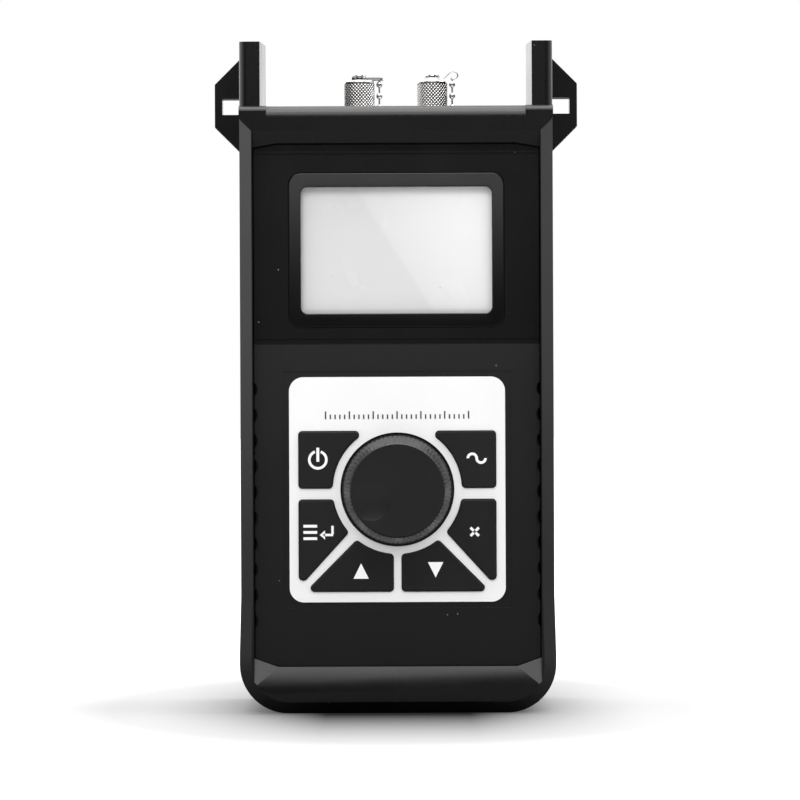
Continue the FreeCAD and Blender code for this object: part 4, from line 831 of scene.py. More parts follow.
def turned(profile: Sequence[Point], centre: Vector, axis: Vector,
           steps: int) -> bmesh.types.BMesh:
    """Spin an outline once round an axis.

    Args:
        profile: Points of (distance from the axis, distance along it), in millimetres.
        centre: A point on the axis from which the second distance counts, in metres.
        axis: The axis.
        steps: How many faces go round.

    Returns:
        The turned shape.
    """
    shape = bmesh.new()
    across = axis.orthogonal().normalized()
    points = [
        shape.verts.new(centre + axis * (along * MM) + across * (radius * MM))
        for radius, along in profile
    ]
    lines = [shape.edges.new(pair) for pair in zip(points, points[1:])]
    bmesh.ops.spin(
        shape, geom=points + lines, cent=centre, axis=axis, angle=FULL_TURN, steps=steps,
        use_merge=True)
    bmesh.ops.remove_doubles(shape, verts=shape.verts, dist=MERGE_OWN)
    bmesh.ops.recalc_face_normals(shape, faces=shape.faces)
    return shape


def arc_points(centre: Point, radius: float, start_deg: float, end_deg: float,
               steps: int) -> list[Point]:
    """Points along an arc of an outline.

    Args:
        centre: The arc's centre.
        radius: Its radius.
        start_deg: Its first angle.
        end_deg: Its last angle.
        steps: How many steps it takes.

    Returns:
        The points, both ends among them.
    """
    turns = [math.radians(start_deg + (end_deg - start_deg) * k / steps) for k in range(steps + 1)]
    return [(centre[0] + radius * math.cos(t), centre[1] + radius * math.sin(t)) for t in turns]


def joined(shapes: Iterable[bmesh.types.BMesh]) -> bmesh.types.BMesh:
    """Put several shapes in one, and free them.

    Args:
        shapes: The shapes.

    Returns:
        The shape that holds them all.
    """
    whole = bmesh.new()
    for shape in shapes:
        mesh = as_mesh("part_of_piece", shape)
        whole.from_mesh(mesh)
        bpy.data.meshes.remove(mesh)
    return whole


def cut_away(target: bmesh.types.BMesh, tool: bmesh.types.BMesh) -> bmesh.types.BMesh:
    """Cut one closed shape out of another.

    Args:
        target: The shape to cut, which is freed.
        tool: The shape to cut away, which is freed.

    Returns:
        The cut shape.
    """
    solid, cutter = (put(name, as_mesh(name, shape))
                     for name, shape in (("cut_target", target), ("cut_tool", tool)))
    boolean = solid.modifiers.new("cut", "BOOLEAN")
    boolean.object = cutter
    boolean.operation = "DIFFERENCE"
    boolean.solver = "EXACT"
    bpy.context.view_layer.update()
    result = bmesh.new()
    ready = solid.evaluated_get(bpy.context.evaluated_depsgraph_get())
    result.from_mesh(ready.to_mesh())
    ready.to_mesh_clear()
    for thing in (solid, cutter):
        mesh = thing.data
        bpy.data.objects.remove(thing)
        bpy.data.meshes.remove(mesh)
    return result


def block(size: Sequence[float], middle: Sequence[float]) -> bmesh.types.BMesh:
    """A plain box.

    Args:
        size: Its size along each axis, in metres.
        middle: Its middle, in metres.

    Returns:
        The box.
    """
    shape = bmesh.new()
    bmesh.ops.create_cube(shape, size=1.0)
    bmesh.ops.scale(shape, vec=size, verts=shape.verts)
    bmesh.ops.translate(shape, vec=middle, verts=shape.verts)
    return shape


def tube(points: Sequence[Vector], radius: float) -> bmesh.types.BMesh:
    """A smooth round wire along given points.

    Args:
        points: The points that guide it, in metres.
        radius: Its radius, in metres.

    Returns:
        The wire as a shape.
    """
    line = bpy.data.curves.new("wire_line", "CURVE")
    line.dimensions = "3D"
    line.bevel_depth = radius
    line.bevel_resolution = WIRE_SIDES
    line.resolution_u = WIRE_STEPS
    line.use_fill_caps = True
    spline = line.splines.new("NURBS")
    spline.points.add(len(points) - 1)
    for point, place in zip(spline.points, points):
        point.co = (*place, 1.0)
    spline.order_u = 3
    spline.use_endpoint_u = True
    thing = put("wire_line", line)
    mesh = bpy.data.meshes.new_from_object(thing)
    shape = bmesh.new()
    shape.from_mesh(mesh)
    bpy.data.objects.remove(thing)
    bpy.data.curves.remove(line)
    bpy.data.meshes.remove(mesh)
    return shape


def ball(centre: Vector, radius: float) -> bmesh.types.BMesh:
    """A small ball.

    Args:
        centre: Its centre, in metres.
        radius: Its radius, in metres.

    Returns:
        The ball.
    """
    shape = bmesh.new()
    bmesh.ops.create_uvsphere(
        shape, u_segments=20, v_segments=12, radius=radius, matrix=Matrix.Translation(centre))
    return shape


@dataclass
class Assembly:
    """A sub-assembly, with the workshop that holds the frame and the materials."""

    shop: Workshop

    def build(self) -> None:
        """Make its pieces and dress them."""
        raise NotImplementedError


@dataclass
class Studio(Assembly):
    """The camera, the white floor, the world and the lamps. Places are in metres."""

    eye: Place = (0.00092, -0.860, 0.0959)
    roll_deg: float = 0.24
    view_width: float = 0.244
    view_distance: float = 0.8384
    sensor_mm: float = 36.0
    floor_half: float = 6.0
    ambient: float = 0.95
    mirrored_dark: float = 0.01
    mirrored_panel: float = 1.5
    mirrored_left: float = 1.9
    mirrored_right: float = 1.3
    mirrored_ceiling: float = 13.0
    panel_side: Span = (0.046, 0.075)
    panel_top: Span = (0.1, 0.12)
    panel_foot: Span = (0.025, 0.08)
    ceiling: Span = (0.68, 0.9)
    left_to_right: Span = (-0.8, 0.8)
    front_to_side: Span = (-0.75, -0.1)
    aim: Place = (0.0, 0.0, 0.1)
    lamps: dict[str, tuple[Place, tuple[float, float], float]] = field(
        default_factory=lambda: {
            "high_right_softbox": ((0.9, 0.0, 1.0), (0.6, 0.6), 7.0),
            "high_front_softbox": ((0.0, -1.2, 0.95), (1.4, 0.6), 9.0),
            "top_softbox": ((0.0, 0.1, 1.3), (1.4, 0.9), 14.0),
        })

    def build(self) -> None:
        """Make the whole studio."""
        self.add_camera()
        self.add_floor()
        self.add_world()
        for name, (place, extent, power) in self.lamps.items():
            self.add_lamp(name, Vector(place), extent, power)
        bpy.context.scene.view_settings.view_transform = "Standard"

    def add_camera(self) -> None:
        """The camera looks straight ahead, level, from in front of the boot."""
        lens = bpy.data.cameras.new("camera")
        lens.sensor_width = self.sensor_mm
        lens.lens = self.sensor_mm * self.view_distance / self.view_width
        lens.clip_start = 0.01
        camera = put("camera", lens)
        camera.location = self.eye
        camera.rotation_euler = (math.pi / 2, math.radians(self.roll_deg), 0.0)
        bpy.context.scene.camera = camera

    def add_floor(self) -> None:
        """A wide white floor."""
        shape = bmesh.new()
        bmesh.ops.create_grid(shape, x_segments=1, y_segments=1, size=self.floor_half)
        mesh = as_mesh("floor", shape)
        mesh.materials.append(self.shop.material(FLOOR))
        floor = put("floor", mesh)

    def add_world(self) -> None:
        """White where it is seen and softer where it lights.

        In mirrors it is dark in front, with one low panel and a bright ceiling, and pale at
        the sides.
        """
        world = bpy.data.worlds.new("studio_world")
        world.use_nodes = True
        graph = Graph(world.node_tree)
        path = graph.add("ShaderNodeLightPath")
        way = graph.add("ShaderNodeSeparateXYZ", {
            "Vector": graph.add("ShaderNodeTexCoord").outputs["Generated"]})
        rise = way.outputs["Z"]
        aside = graph.math("ABSOLUTE", way.outputs["X"])
        foot = graph.math("POWER", graph.remap(rise, *self.panel_foot, 0.0, 1.0), 2.0)
        upright = graph.math("MULTIPLY", graph.remap(rise, *self.panel_top, 1.0, 0.0), foot)
        panel = graph.math("MULTIPLY", graph.remap(aside, *self.panel_side, 1.0, 0.0), upright)
        level = graph.remap(panel, 0.0, 1.0, self.mirrored_dark, self.mirrored_panel)
        front = graph.math("MAXIMUM", level, graph.remap(
            rise, *self.ceiling, 0.0, self.mirrored_ceiling))
        sides = graph.remap(way.outputs["X"], *self.left_to_right, self.mirrored_left,
                            self.mirrored_right)
        mirrored = graph.remap(way.outputs["Y"], *self.front_to_side, front, sides)
        seen = graph.math("MAXIMUM", path.outputs["Is Camera Ray"],
                          path.outputs["Is Transmission Ray"])
        glossy = path.outputs["Is Glossy Ray"]
        lighting = graph.remap(seen, 0.0, 1.0, self.ambient, 1.0)
        strength = graph.add("ShaderNodeMix", {0: glossy, 2: lighting, 3: mirrored},
                             data_type="FLOAT").outputs[0]
        sky = graph.add("ShaderNodeBackground", {
            "Color": WHITE_LIGHT, "Strength": strength})
        graph.add("ShaderNodeOutputWorld", {"Surface": sky.outputs[0]})
        bpy.context.scene.world = world

    def add_lamp(self, name: str, place: Vector, extent: tuple[float, float],
                 power: float) -> None:
        """A rectangular softbox that faces the middle of the part.

        Args:
            name: The lamp's name.
            place: Where it stands.
            extent: Its width and height, in metres.
            power: Its power, in watts.
        """
        light = bpy.data.lights.new(name, "AREA")
        light.shape = "RECTANGLE"
        light.size, light.size_y = extent
        light.energy = power
        lamp = put(name, light)
        lamp.location = place
        way = Vector(self.aim) - place
        lamp.rotation_euler = way.to_track_quat("-Z", "Y").to_euler()


@dataclass
class Boot(Assembly):
    """The rubber boot with its horns, its strap ears and its well-rounded lip. In mm."""

    edge_mm: float = 0.5
    lip_top: float = 186.0
    lip_half: float = 39.6
    lip_round: float = 3.5
    roller_spare: float = 5.0
    roller_steps: int = 96

    def build(self) -> None:
        """Round the lip between the horns, and dress the boot."""
        boot = cut_away(self.shop.merged_copy("rubber_boot"), self.lip_tool())
        self.shop.piece("soft_boot", boot, RUBBER, "housing", ("rubber_boot",),
                        bevel_mm=self.edge_mm)

    def lip_tool(self) -> bmesh.types.BMesh:
        """The corner that the lip's round front edge leaves free.

        Returns:
            A bar with a hollow quarter.
        """
        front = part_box("rubber_boot")[0][1]
        centre = Vector((0.0, front + self.lip_round * MM,
                         (self.lip_top - self.lip_round) * MM))
        thick = 2 * self.lip_round * MM
        bar = block((2 * self.lip_half * MM, thick, thick),
                    centre + (UP + FORWARD) * (self.lip_round * MM))
        reach = self.lip_half + self.roller_spare
        roller = turned(
            [(0.0, -reach), (self.lip_round, -reach), (self.lip_round, reach), (0.0, reach)],
            centre, Vector((1.0, 0.0, 0.0)), self.roller_steps)
        return cut_away(bar, roller)


@dataclass
class Housing(Assembly):
    """The two shells, the battery door, the end plate and the screws that show."""

    edge_mm: float = 0.25
    thin_edge_mm: float = 0.12

    def build(self) -> None:
        """Dress the shells and the metal on top."""
        for node in ("front_shell", "rear_shell", "battery_door"):
            self.shop.dressed(node, CASE, self.edge_mm)
        self.shop.dressed("top_end_plate", ALUMINIUM, self.thin_edge_mm)
        for node in ("case_screws", "end_plate_screws", "chain_screws"):
            self.shop.dressed(node, STEEL, self.thin_edge_mm)


@dataclass
class Display(Assembly):
    """The lens, with its black printed border and clear window, over the panel. In mm."""

    window_width: float = 58.6
    window_height: float = 38.8
    window_corner: float = 2.0
    lens_corner: float = 3.7
    border_edge: float = 0.25
    window_back: float = 0.1

    def build(self) -> None:
        """Make the lens in two pieces, and finish the panel."""
        low, high = (Vector(corner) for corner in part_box("display_lens"))
        middle = (low + high) / 2
        thick = high.y - low.y
        border = cut_away(
            self.plate(middle, high.x - low.x, high.z - low.z, self.lens_corner, low.y, thick),
            self.plate(middle, self.window_width * MM, self.window_height * MM,
                       self.window_corner, low.y - thick, 3 * thick))
        self.shop.piece("lens_border", border, LENS_BORDER, "housing", ("display_lens",),
                        bevel_mm=self.border_edge)
        window = self.plate(
            middle, self.window_width * MM, self.window_height * MM, self.window_corner,
            low.y + self.window_back * MM, thick - 2 * self.window_back * MM)
        self.shop.piece("lens_window", window, WINDOW, "housing")
        self.shop.paint("lcd_panel", SCREEN)
        self.shop.paint("lcd_frame", FRAME_PLASTIC)

    def plate(self, middle: Vector, width: float, height: float, corner: float,
              front: float, thick: float) -> bmesh.types.BMesh:
        """A plate with round corners, which faces forward.

        Args:
            middle: Its middle across and up.
            width: Its width, in metres.
            height: Its height, in metres.
            corner: Its corner radius, in millimetres.
            front: Where its front lies, in metres.
            thick: Its thickness, in metres.

        Returns:
            The plate.
        """
        shape = block((width, thick, height), (middle.x, front + thick / 2, middle.z))
        upright = [edge for edge in shape.edges
                   if abs((edge.verts[0].co - edge.verts[1].co).y) > thick / 2]
        bmesh.ops.bevel(
            shape, geom=upright, offset=corner * MM, segments=CORNER_STEPS, profile=0.5,
            affect="EDGES", offset_type="OFFSET", material=-1)
        return shape


@dataclass
class Legends(Assembly):
    """The marks printed on the keys and over the knob: plain signs and ticks. In mm."""

    thick: float = 0.05
    power: Point = (-24.3, 77.7)
    power_radius: float = 2.6
    power_gap_deg: float = 20.0
    power_bar: float = 4.3
    power_bar_rise: float = 0.6
    power_bar_width: float = 1.1
    stroke: float = 0.8
    stroke_step_deg: float = 7.0
    wave: Point = (24.3, 78.0)
    wave_radius: float = 1.35
    menu: Point = (-24.1, 55.5)
    menu_bars: tuple[tuple[Point, float, float], ...] = (
        ((-2.6, 1.9), 4.2, 0.85), ((-2.6, 0.0), 4.2, 0.85), ((-2.6, -1.9), 4.2, 0.85),
        ((4.2, 0.7), 0.75, 2.6), ((2.9, -0.8), 3.0, 0.75))
    menu_tip_rise: float = -0.8
    menu_tip: tuple[Point, ...] = ((1.9, 1.4), (0.3, 0.0), (1.9, -1.4))
    cancel: Point = (23.6, 55.5)
    cross: float = 3.6
    up: Point = (-11.2, 43.6)
    down: Point = (11.6, 43.9)
    arrow: float = 4.7
    scale_z: float = 90.1
    scale_half: float = 21.9
    scale_step: float = 1.46
    tick_width: float = 0.42
    tick_short: float = 1.4
    tick_long: float = 2.4
    ticks_per_long: int = 5

    def build(self) -> None:
        """Print every mark."""
        self.print_on("key_power", "power_sign", self.power_sign())
        self.print_on("key_wavelength", "wave_sign", self.wave_sign())
        self.print_on("key_menu", "menu_sign", self.menu_sign())
        self.print_on("key_cancel", "cancel_sign", self.cancel_sign())
        self.print_on("key_up", "up_sign", [self.triangle(self.up, 1.0)])
        self.print_on("key_down", "down_sign", [self.triangle(self.down, -1.0)])
        self.print_on("keypad_bezel", "level_scale", self.scale_marks(), GREY_INK)

    def print_on(self, node: str, name: str, flats: list[bmesh.types.BMesh],
                 ink: Finish = WHITE_INK) -> None:
        """Lay flat shapes on a node's front and give them the print's thickness.

        Args:
            node: The node that carries the print.
            name: The print's name.
            flats: Flat shapes in the plane y = 0.
            ink: The print's finish.
        """
        shape = joined(flats)
        bmesh.ops.remove_doubles(shape, verts=shape.verts, dist=MERGE_OWN)
        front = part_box(node)[0][1]
        raised = bmesh.ops.extrude_face_region(shape, geom=list(shape.faces))
        corners = [item for item in raised["geom"] if isinstance(item, bmesh.types.BMVert)]
        bmesh.ops.translate(shape, vec=FORWARD * (self.thick * MM), verts=corners)
        bmesh.ops.translate(shape, vec=(0.0, front, 0.0), verts=shape.verts)
        bmesh.ops.recalc_face_normals(shape, faces=shape.faces)
        self.shop.piece(name, shape, ink, self.shop.body_of_node[node])

    def bar(self, middle: Point, width: float, height: float,
            turn_deg: float = 0.0) -> bmesh.types.BMesh:
        """A flat bar.

        Args:
            middle: Its middle, across and up.
            width: Its width.
            height: Its height.
            turn_deg: How far it is turned.

        Returns:
            The bar, in the plane y = 0.
        """
        shape = bmesh.new()
        bmesh.ops.create_grid(shape, x_segments=1, y_segments=1, size=0.5)
        bmesh.ops.scale(shape, vec=(width * MM, height * MM, 1.0), verts=shape.verts)
        place = (Matrix.Translation((middle[0] * MM, 0.0, middle[1] * MM))
                 @ Matrix.Rotation(math.radians(turn_deg), 4, "Y")
                 @ Matrix.Rotation(math.pi / 2, 4, "X"))
        bmesh.ops.transform(shape, matrix=place, verts=shape.verts)
        return shape

    def band(self, middle: Point, radius: float, start_deg: float,
             sweep_deg: float) -> bmesh.types.BMesh:
        """A flat curved stroke.

        Args:
            middle: The centre that it goes round.
            radius: The radius of its middle line.
            start_deg: Where it starts, counted from the right and anticlockwise in front.
            sweep_deg: How far it goes.

        Returns:
            The stroke, in the plane y = 0.
        """
        shape = bmesh.new()
        centre = Vector((middle[0] * MM, 0.0, middle[1] * MM))
        start = math.radians(start_deg)
        ray = Vector((math.cos(start), 0.0, math.sin(start)))
        ends = [shape.verts.new(centre + ray * ((radius + offset) * MM))
                for offset in (-self.stroke / 2, self.stroke / 2)]
        line = shape.edges.new(ends)
        bmesh.ops.spin(
            shape, geom=ends + [line], cent=centre, axis=FORWARD,
            angle=math.radians(sweep_deg), steps=int(abs(sweep_deg) / self.stroke_step_deg))
        return shape

    def triangle(self, middle: Point, way: float) -> bmesh.types.BMesh:
        """A flat arrow head that points up or down.

        Args:
            middle: Its middle.
            way: 1 for up and -1 for down.

        Returns:
            The arrow head, in the plane y = 0.
        """
        half = self.arrow / 2
        return self.flat((middle[0] + x * half, middle[1] + way * z * half)
                         for x, z in ((-1.0, -1.0), (1.0, -1.0), (0.0, 1.0)))

    def flat(self, corners: Iterable[Point]) -> bmesh.types.BMesh:
        """A flat face in the plane y = 0.

        Args:
            corners: Its corners, across and up.

        Returns:
            The face as a shape.
        """
        shape = bmesh.new()
        shape.faces.new([shape.verts.new((x * MM, 0.0, z * MM)) for x, z in corners])
        return shape

    def power_sign(self) -> list[bmesh.types.BMesh]:
        """An open ring with a bar through its gap."""
        x, z = self.power
        gap = self.power_gap_deg
        ring = self.band(self.power, self.power_radius, 90.0 + gap, 360.0 - 2 * gap)
        middle = (x, z + self.power_radius * self.power_bar_rise)
        return [ring, self.bar(middle, self.stroke * self.power_bar_width, self.power_bar)]

    def wave_sign(self) -> list[bmesh.types.BMesh]:
        """One full wave."""
        x, z = self.wave
        step = self.wave_radius
        crest = self.band((x - step, z), step, 180.0, -180.0)
        trough = self.band((x + step, z), step, 180.0, 180.0)
        return [crest, trough]

    def menu_sign(self) -> list[bmesh.types.BMesh]:
        """Three bars of a list, and a return arrow beside them."""
        x, z = self.menu
        bars = [self.bar((x + a, z + b), width, height)
                for (a, b), width, height in self.menu_bars]
        tip = self.flat((x + a, z + self.menu_tip_rise + b) for a, b in self.menu_tip)
        return [*bars, tip]

    def cancel_sign(self) -> list[bmesh.types.BMesh]:
        """A cross."""
        return [self.bar(self.cancel, self.cross, self.stroke, turn) for turn in (45.0, -45.0)]

    def scale_marks(self) -> list[bmesh.types.BMesh]:
        """A row of plain ticks, every fifth one taller."""
        count = int(self.scale_half / self.scale_step)
        marks = []
        for number in range(-count, count + 1):
            tall = self.tick_short if number % self.ticks_per_long else self.tick_long
            middle = (number * self.scale_step, self.scale_z + tall / 2)
            marks.append(self.bar(middle, self.tick_width, tall))
        return marks


@dataclass
class Keypad(Assembly):
    """The white panel, its keys and what is printed on them."""

    panel_edge_mm: float = 0.2
    keys: tuple[str, ...] = (
        "key_power", "key_wavelength", "key_menu", "key_cancel", "key_up", "key_down")

    def build(self) -> None:
        """Dress the panel and the keys, and print them."""
        self.shop.dressed("keypad_bezel", PANEL, self.panel_edge_mm)
        for key in self.keys:
            self.shop.dressed(key, KEY_RUBBER)
        self.shop.paint("keypad_mat", MAT_RUBBER)
        Legends(self.shop).build()


@dataclass
class Knob(Assembly):
    """The rotary knob, with fine grooves round its sloping rim and a finger dimple. In mm."""

    radius: float = 16.9
    slope_radius: float = 16.65
    top_radius: float = 14.6
    skirt: float = 3.2
    rim_shares: tuple[float, ...] = (0.0, 0.05, 1.0)
    slope_shares: tuple[float, ...] = (0.0, 0.06, 0.9, 0.96)
    edge: float = 0.8
    roof: float = 2.5
    bore: float = 3.05
    hollow: float = 6.95
    hollow_floor: float = 6.1
    grooves: int = 72
    steps_per_groove: int = 6
    groove_share: float = 0.4
    groove_deep: float = 0.14
    groove_top: float = 0.4
    groove_slack: float = 0.05
    dimple: Point = (-7.9, -3.5)
    dimple_radius: float = 5.8
    dimple_deep: float = 0.55
    plug_spare: float = 1.25
    plug_high: float = 6.0
    plug_rings: int = 14
    plug_steps: int = 96

    def build(self) -> None:
        """Turn the knob, groove its rim and sink its dimple."""
        low, high = (Vector(corner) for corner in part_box("knob"))
        front = Vector(((low.x + high.x) / 2, low.y, (low.z + high.z) / 2))
        height = (high.y - low.y) / MM
        body = turned(
            self.outline(height), front, FORWARD, self.grooves * self.steps_per_groove)
        self.groove_rim(body, front)
        body = cut_away(body, self.dimple_tool(front))
        self.shop.piece("ribbed_knob", body, KNOB, "knob", ("knob",), smooth_deg=38.0)

    def outline(self, height: float) -> list[Point]:
        """The knob's section, from its middle behind to its middle in front.

        Args:
            height: How far its back lies behind its front.

        Returns:
            Distances from the axis and forward of the front, all along the section.
        """
        rim = [(self.radius, -height + self.skirt * share) for share in self.rim_shares]
        slope = [
            (self.slope_radius + (self.top_radius - self.slope_radius) * share,
             (self.skirt - height) * (1 - share) - self.edge * share)
            for share in self.slope_shares
        ]
        crown = arc_points(
            (self.top_radius - self.edge, -self.edge), self.edge, *SHOULDER_ARC)
        return [
            (0.0, -self.roof), (self.bore, -self.roof), (self.bore, -self.hollow_floor),
            (self.hollow, -self.hollow_floor), (self.hollow, -height), *rim, *slope, *crown,
            (0.0, 0.0),
        ]

    def groove_rim(self, body: bmesh.types.BMesh, front: Vector) -> None:
        """Sink fine grooves in the sloping rim.

        Args:
            body: The turned knob.
            front: The middle of its front.
        """
        flat_front = self.top_radius - self.edge * self.groove_top
        for vertex in body.verts:
            offset = vertex.co - front
            away = Vector((offset.x, 0.0, offset.z))
            radius = away.length / MM
            if not flat_front <= radius <= self.slope_radius + self.groove_slack:
                continue
            turn = math.atan2(offset.z, offset.x) / FULL_TURN * self.grooves
            phase = abs(turn - round(turn)) * 2
            sink = max(0.0, 1.0 - phase / self.groove_share) * self.groove_deep
            vertex.co -= away.normalized() * (sink * MM)

    def dimple_tool(self, front: Vector) -> bmesh.types.BMesh:
        """The round-nosed plug that leaves the finger dimple.

        Args:
            front: The middle of the knob's front.

        Returns:
            The plug.
        """
        deep = self.dimple_deep
        ball_radius = (self.dimple_radius ** 2 + deep ** 2) / (2 * deep)
        centre = front + Vector((self.dimple[0] * MM, 0.0, self.dimple[1] * MM))
        reach = math.degrees(math.asin(self.dimple_radius * self.plug_spare / ball_radius))
        nose = arc_points((0.0, ball_radius - deep), ball_radius, -90.0, -90.0 + reach,
                          self.plug_rings)
        return turned([*nose, (nose[-1][0], self.plug_high), (0.0, self.plug_high)],
                      centre, FORWARD, self.plug_steps)


@dataclass
class FibrePort(Assembly):
    """One fibre port: adapter, knurled dust cap, tether and bead chain. In mm."""

    side: Side
    across: float = 11.4
    depth: float = 1.4
    cap_radius: float = 4.8
    cap_low: float = 185.3
    cap_high: float = 195.8
    cap_wall: float = 0.7
    cap_roof: float = 2.0
    shoulder: float = 0.7
    pin_radius: float = 1.1
    rivet_radius: float = 2.4
    rivet_low: float = 197.1
    rivet_high: float = 198.0
    knurls: int = 27
    steps_per_knurl: int = 8
    knurl_deep: float = 0.22
    knurl_slope: float = 2.6
    knurl_ease: float = 0.5
    knurl_slack: float = 0.05
    band_inset: float = 0.5
    foot_inset: float = 0.4
    rivet_edge: float = 0.25
    metal_edge: float = 0.1
    tab_low: float = 196.05
    washer: tuple[Point, ...] = (
        (1.25, 0.0), (2.3, 0.0), (2.55, 0.3), (2.3, 0.6), (1.25, 0.6), (1.25, 0.0))
    washer_steps: int = 48
    wire_radius: float = 0.22
    wire_end: float = 1.3
    wire_guide: tuple[Point, ...] = (
        (1.9, 0.5), (3.4, 0.35), (4.6, 1.5), (5.9, 2.8), (7.4, 2.7), (8.2, 1.5), (7.4, 0.5))
    wire_hook: tuple[Point, ...] = ((0.0, 0.2), (-0.5, 0.5), (0.0, 0.9))
    bead_radius: float = 1.0
    bead_pitch: float = 3.6
    link_radius: float = 0.3
    chain_bend: float = 0.6
    chain_rest: float = 184.35

    @property
    def middle(self) -> Vector:
        """The port's axis, at floor level, in metres."""
        return Vector((self.side.value * self.across * MM, self.depth * MM, 0.0))

    def build(self) -> None:
        """Dress everything that belongs to the port."""
        word = self.side.word
        self.shop.dressed(f"adapter_{word}", NICKEL, self.metal_edge)
        for node, finish in (("adapter_nut", NICKEL), ("adapter_sleeve", CERAMIC),
                             ("inner_plug", PLUG), ("fibre", JACKET)):
            self.shop.paint(f"{node}_{word}", finish)
        self.make_cap()
        self.make_tether()
        self.make_chain()

    def make_cap(self) -> None:
        """The turned cap with a crossed knurl round it."""
        inner = self.cap_radius - self.cap_wall
        foot = self.cap_low + self.band_inset
        head = self.cap_high - self.shoulder
        rows = int((head - foot) / (FULL_TURN * self.cap_radius / self.knurls)
                   * self.steps_per_knurl)
        band = [(self.cap_radius, foot + (head - foot) * row / rows) for row in range(rows + 1)]
        shoulder = arc_points(
            (self.cap_radius - self.shoulder, head), self.shoulder, *SHOULDER_ARC)
        outline = [
            (0.0, self.cap_high - self.cap_roof), (inner, self.cap_high - self.cap_roof),
            (inner, self.cap_low), (self.cap_radius - self.foot_inset, self.cap_low),
            *band, *shoulder,
            (self.pin_radius, self.cap_high), (self.pin_radius, self.rivet_low),
            (self.rivet_radius, self.rivet_low),
            (self.rivet_radius, self.rivet_high - self.rivet_edge),
            (self.rivet_radius - self.rivet_edge, self.rivet_high), (0.0, self.rivet_high),
        ]
        cap = turned(outline, self.middle, UP, self.knurls * self.steps_per_knurl)
        self.knurl(cap, foot, head)
        word = self.side.word
        self.shop.piece(f"knurled_cap_{word}", cap, KNURLED_NICKEL, f"dust_cap_{word}",
                        (f"dust_cap_{word}",), smooth_deg=50.0)

    def knurl(self, cap: bmesh.types.BMesh, foot: float, head: float) -> None:
        """Press crossed slanting grooves into the cap's side.

        Args:
            cap: The turned cap.
            foot: Where the knurl starts.
            head: Where it ends.
        """
        pitch = FULL_TURN * self.cap_radius / self.knurls
        for vertex in cap.verts:
            offset = vertex.co - self.middle
            away = Vector((offset.x, offset.y, 0.0))
            rise = offset.z / MM
            outside = away.length / MM >= self.cap_radius - self.knurl_slack
            if not (outside and foot <= rise <= head):
                continue
            turn = math.atan2(offset.y, offset.x) / FULL_TURN * self.knurls
            along = (rise - foot) / pitch
            sink = 0.0
            for slant in (turn + along, turn - along):
                sink = max(sink, 1.0 - self.knurl_slope * abs(slant - round(slant)))
            ease = min(1.0, (rise - foot) / self.knurl_ease, (head - rise) / self.knurl_ease)
            vertex.co -= away.normalized() * (sink * ease * self.knurl_deep * MM)

    def make_tether(self) -> None:
        """A flat tab on the left cap; a washer with a wire loop on the right one."""
        node = f"tether_tab_{self.side.word}"
        if self.side is Side.LEFT:
            self.shop.dressed(node, NICKEL, self.metal_edge)
            return
        low, high = (Vector(corner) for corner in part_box(node))
        reach = (high.x - self.middle.x) / MM - self.wire_end
        ring = turned([(radius, self.tab_low + rise) for radius, rise in self.washer],
                      self.middle, UP, self.washer_steps)
        guide = [*self.wire_guide, *((reach + x, z) for x, z in self.wire_hook)]
        wire = tube([self.middle + Vector((x * MM, 0.0, (self.tab_low + z) * MM))
                     for x, z in guide], self.wire_radius * MM)
        self.shop.piece("tether_wire_right", joined([ring, wire]), STEEL, "tether_right",
                        (node,))

    def make_chain(self) -> None:
        """Beads on a link wire, from the tether down to the plate and to its screw."""
        word = self.side.word
        low, high = (Vector(corner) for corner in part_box(f"chain_{word}"))
        across = (low.x + high.x) / 2
        rest = self.chain_rest * MM
        bend = self.bead_pitch * self.chain_bend * MM
        turn = rest + bend
        depth = self.depth * MM
        guide = [Vector((across, y, z)) for y, z in (
            (depth, high.z), (depth, (high.z + turn) / 2), (depth, turn),
            (depth - bend, rest), (low.y, rest))]
        shapes = [tube(guide, self.link_radius * MM)]
        route = [guide[0], guide[2], guide[3], guide[4]]
        distance = (self.bead_radius + self.link_radius) * MM
        length = sum((b - a).length for a, b in zip(route, route[1:]))
        while distance < length - self.bead_radius * MM:
            shapes.append(ball(along_route(route, distance), self.bead_radius * MM))
            distance += self.bead_pitch * MM
        chain = self.shop.piece(f"bead_chain_{word}", joined(shapes), STEEL, None,
                                (f"chain_{word}",))
        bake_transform(chain)


def along_route(route: Sequence[Vector], distance: float) -> Vector:
    """The point at a distance along straight runs.

    Args:
        route: The corners of the runs.
        distance: How far along it, in metres.

    Returns:
        The point.
    """
    for start, end in zip(route, route[1:]):
        run = end - start
        if distance <= run.length:
            return start + run * (distance / run.length)
        distance -= run.length
    return route[-1]


@dataclass
class Insides(Assembly):
    """What the housing holds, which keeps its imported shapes."""

    finishes: dict[str, Finish] = field(default_factory=lambda: {
        "encoder_body": STEEL, "encoder_nut": STEEL, "encoder_shaft": STEEL,
        "main_board": BOARD, "attenuator_module": ALUMINIUM, "battery_1": CELL,
        "battery_2": CELL, "battery_3": CELL, "battery_contacts": NICKEL,
        "board_screws": STEEL, "module_screws": STEEL,
    })

    def build(self) -> None:
        """Finish every inner node."""
        for node, finish in self.finishes.items():
            self.shop.paint(node, finish)


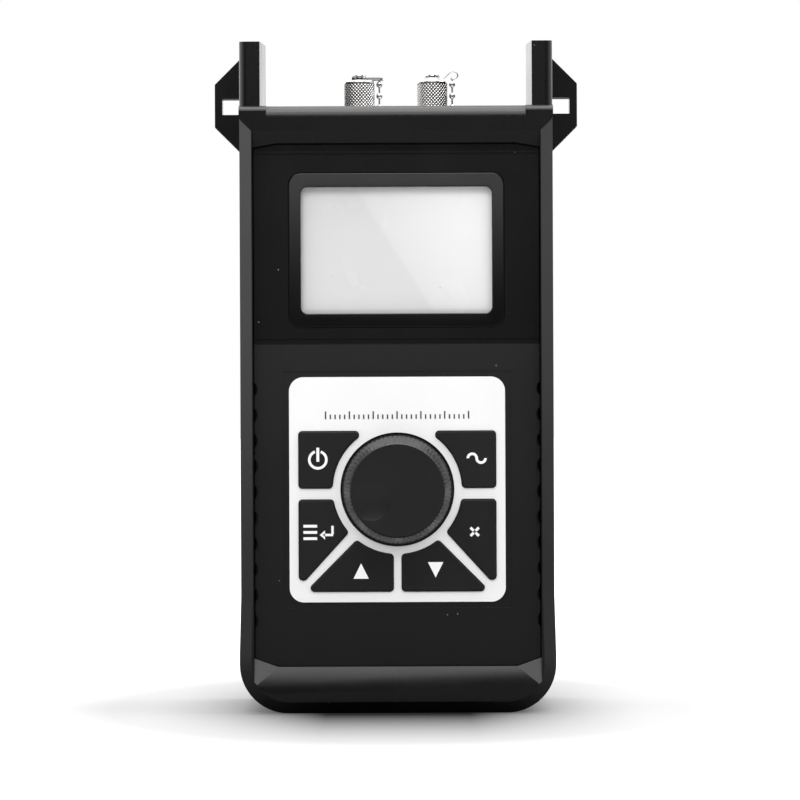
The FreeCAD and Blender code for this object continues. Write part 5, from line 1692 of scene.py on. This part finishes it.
def main() -> None:
    """Load the frame, build the studio and every sub-assembly."""
    logging.basicConfig(level=logging.INFO, format="%(name)s: %(message)s")
    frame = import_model()
    shop = Workshop(frame)
    Studio(shop).build()
    assemblies: dict[str, Assembly] = {
        "boot": Boot(shop),
        "housing": Housing(shop),
        "display": Display(shop),
        "keypad": Keypad(shop),
        "knob": Knob(shop),
        "left port": FibrePort(shop, Side.LEFT),
        "right port": FibrePort(shop, Side.RIGHT),
        "insides": Insides(shop),
    }
    for name, assembly in assemblies.items():
        assembly.build()
        LOG.info("built the %s", name)


if __name__ == "__main__":
    main()
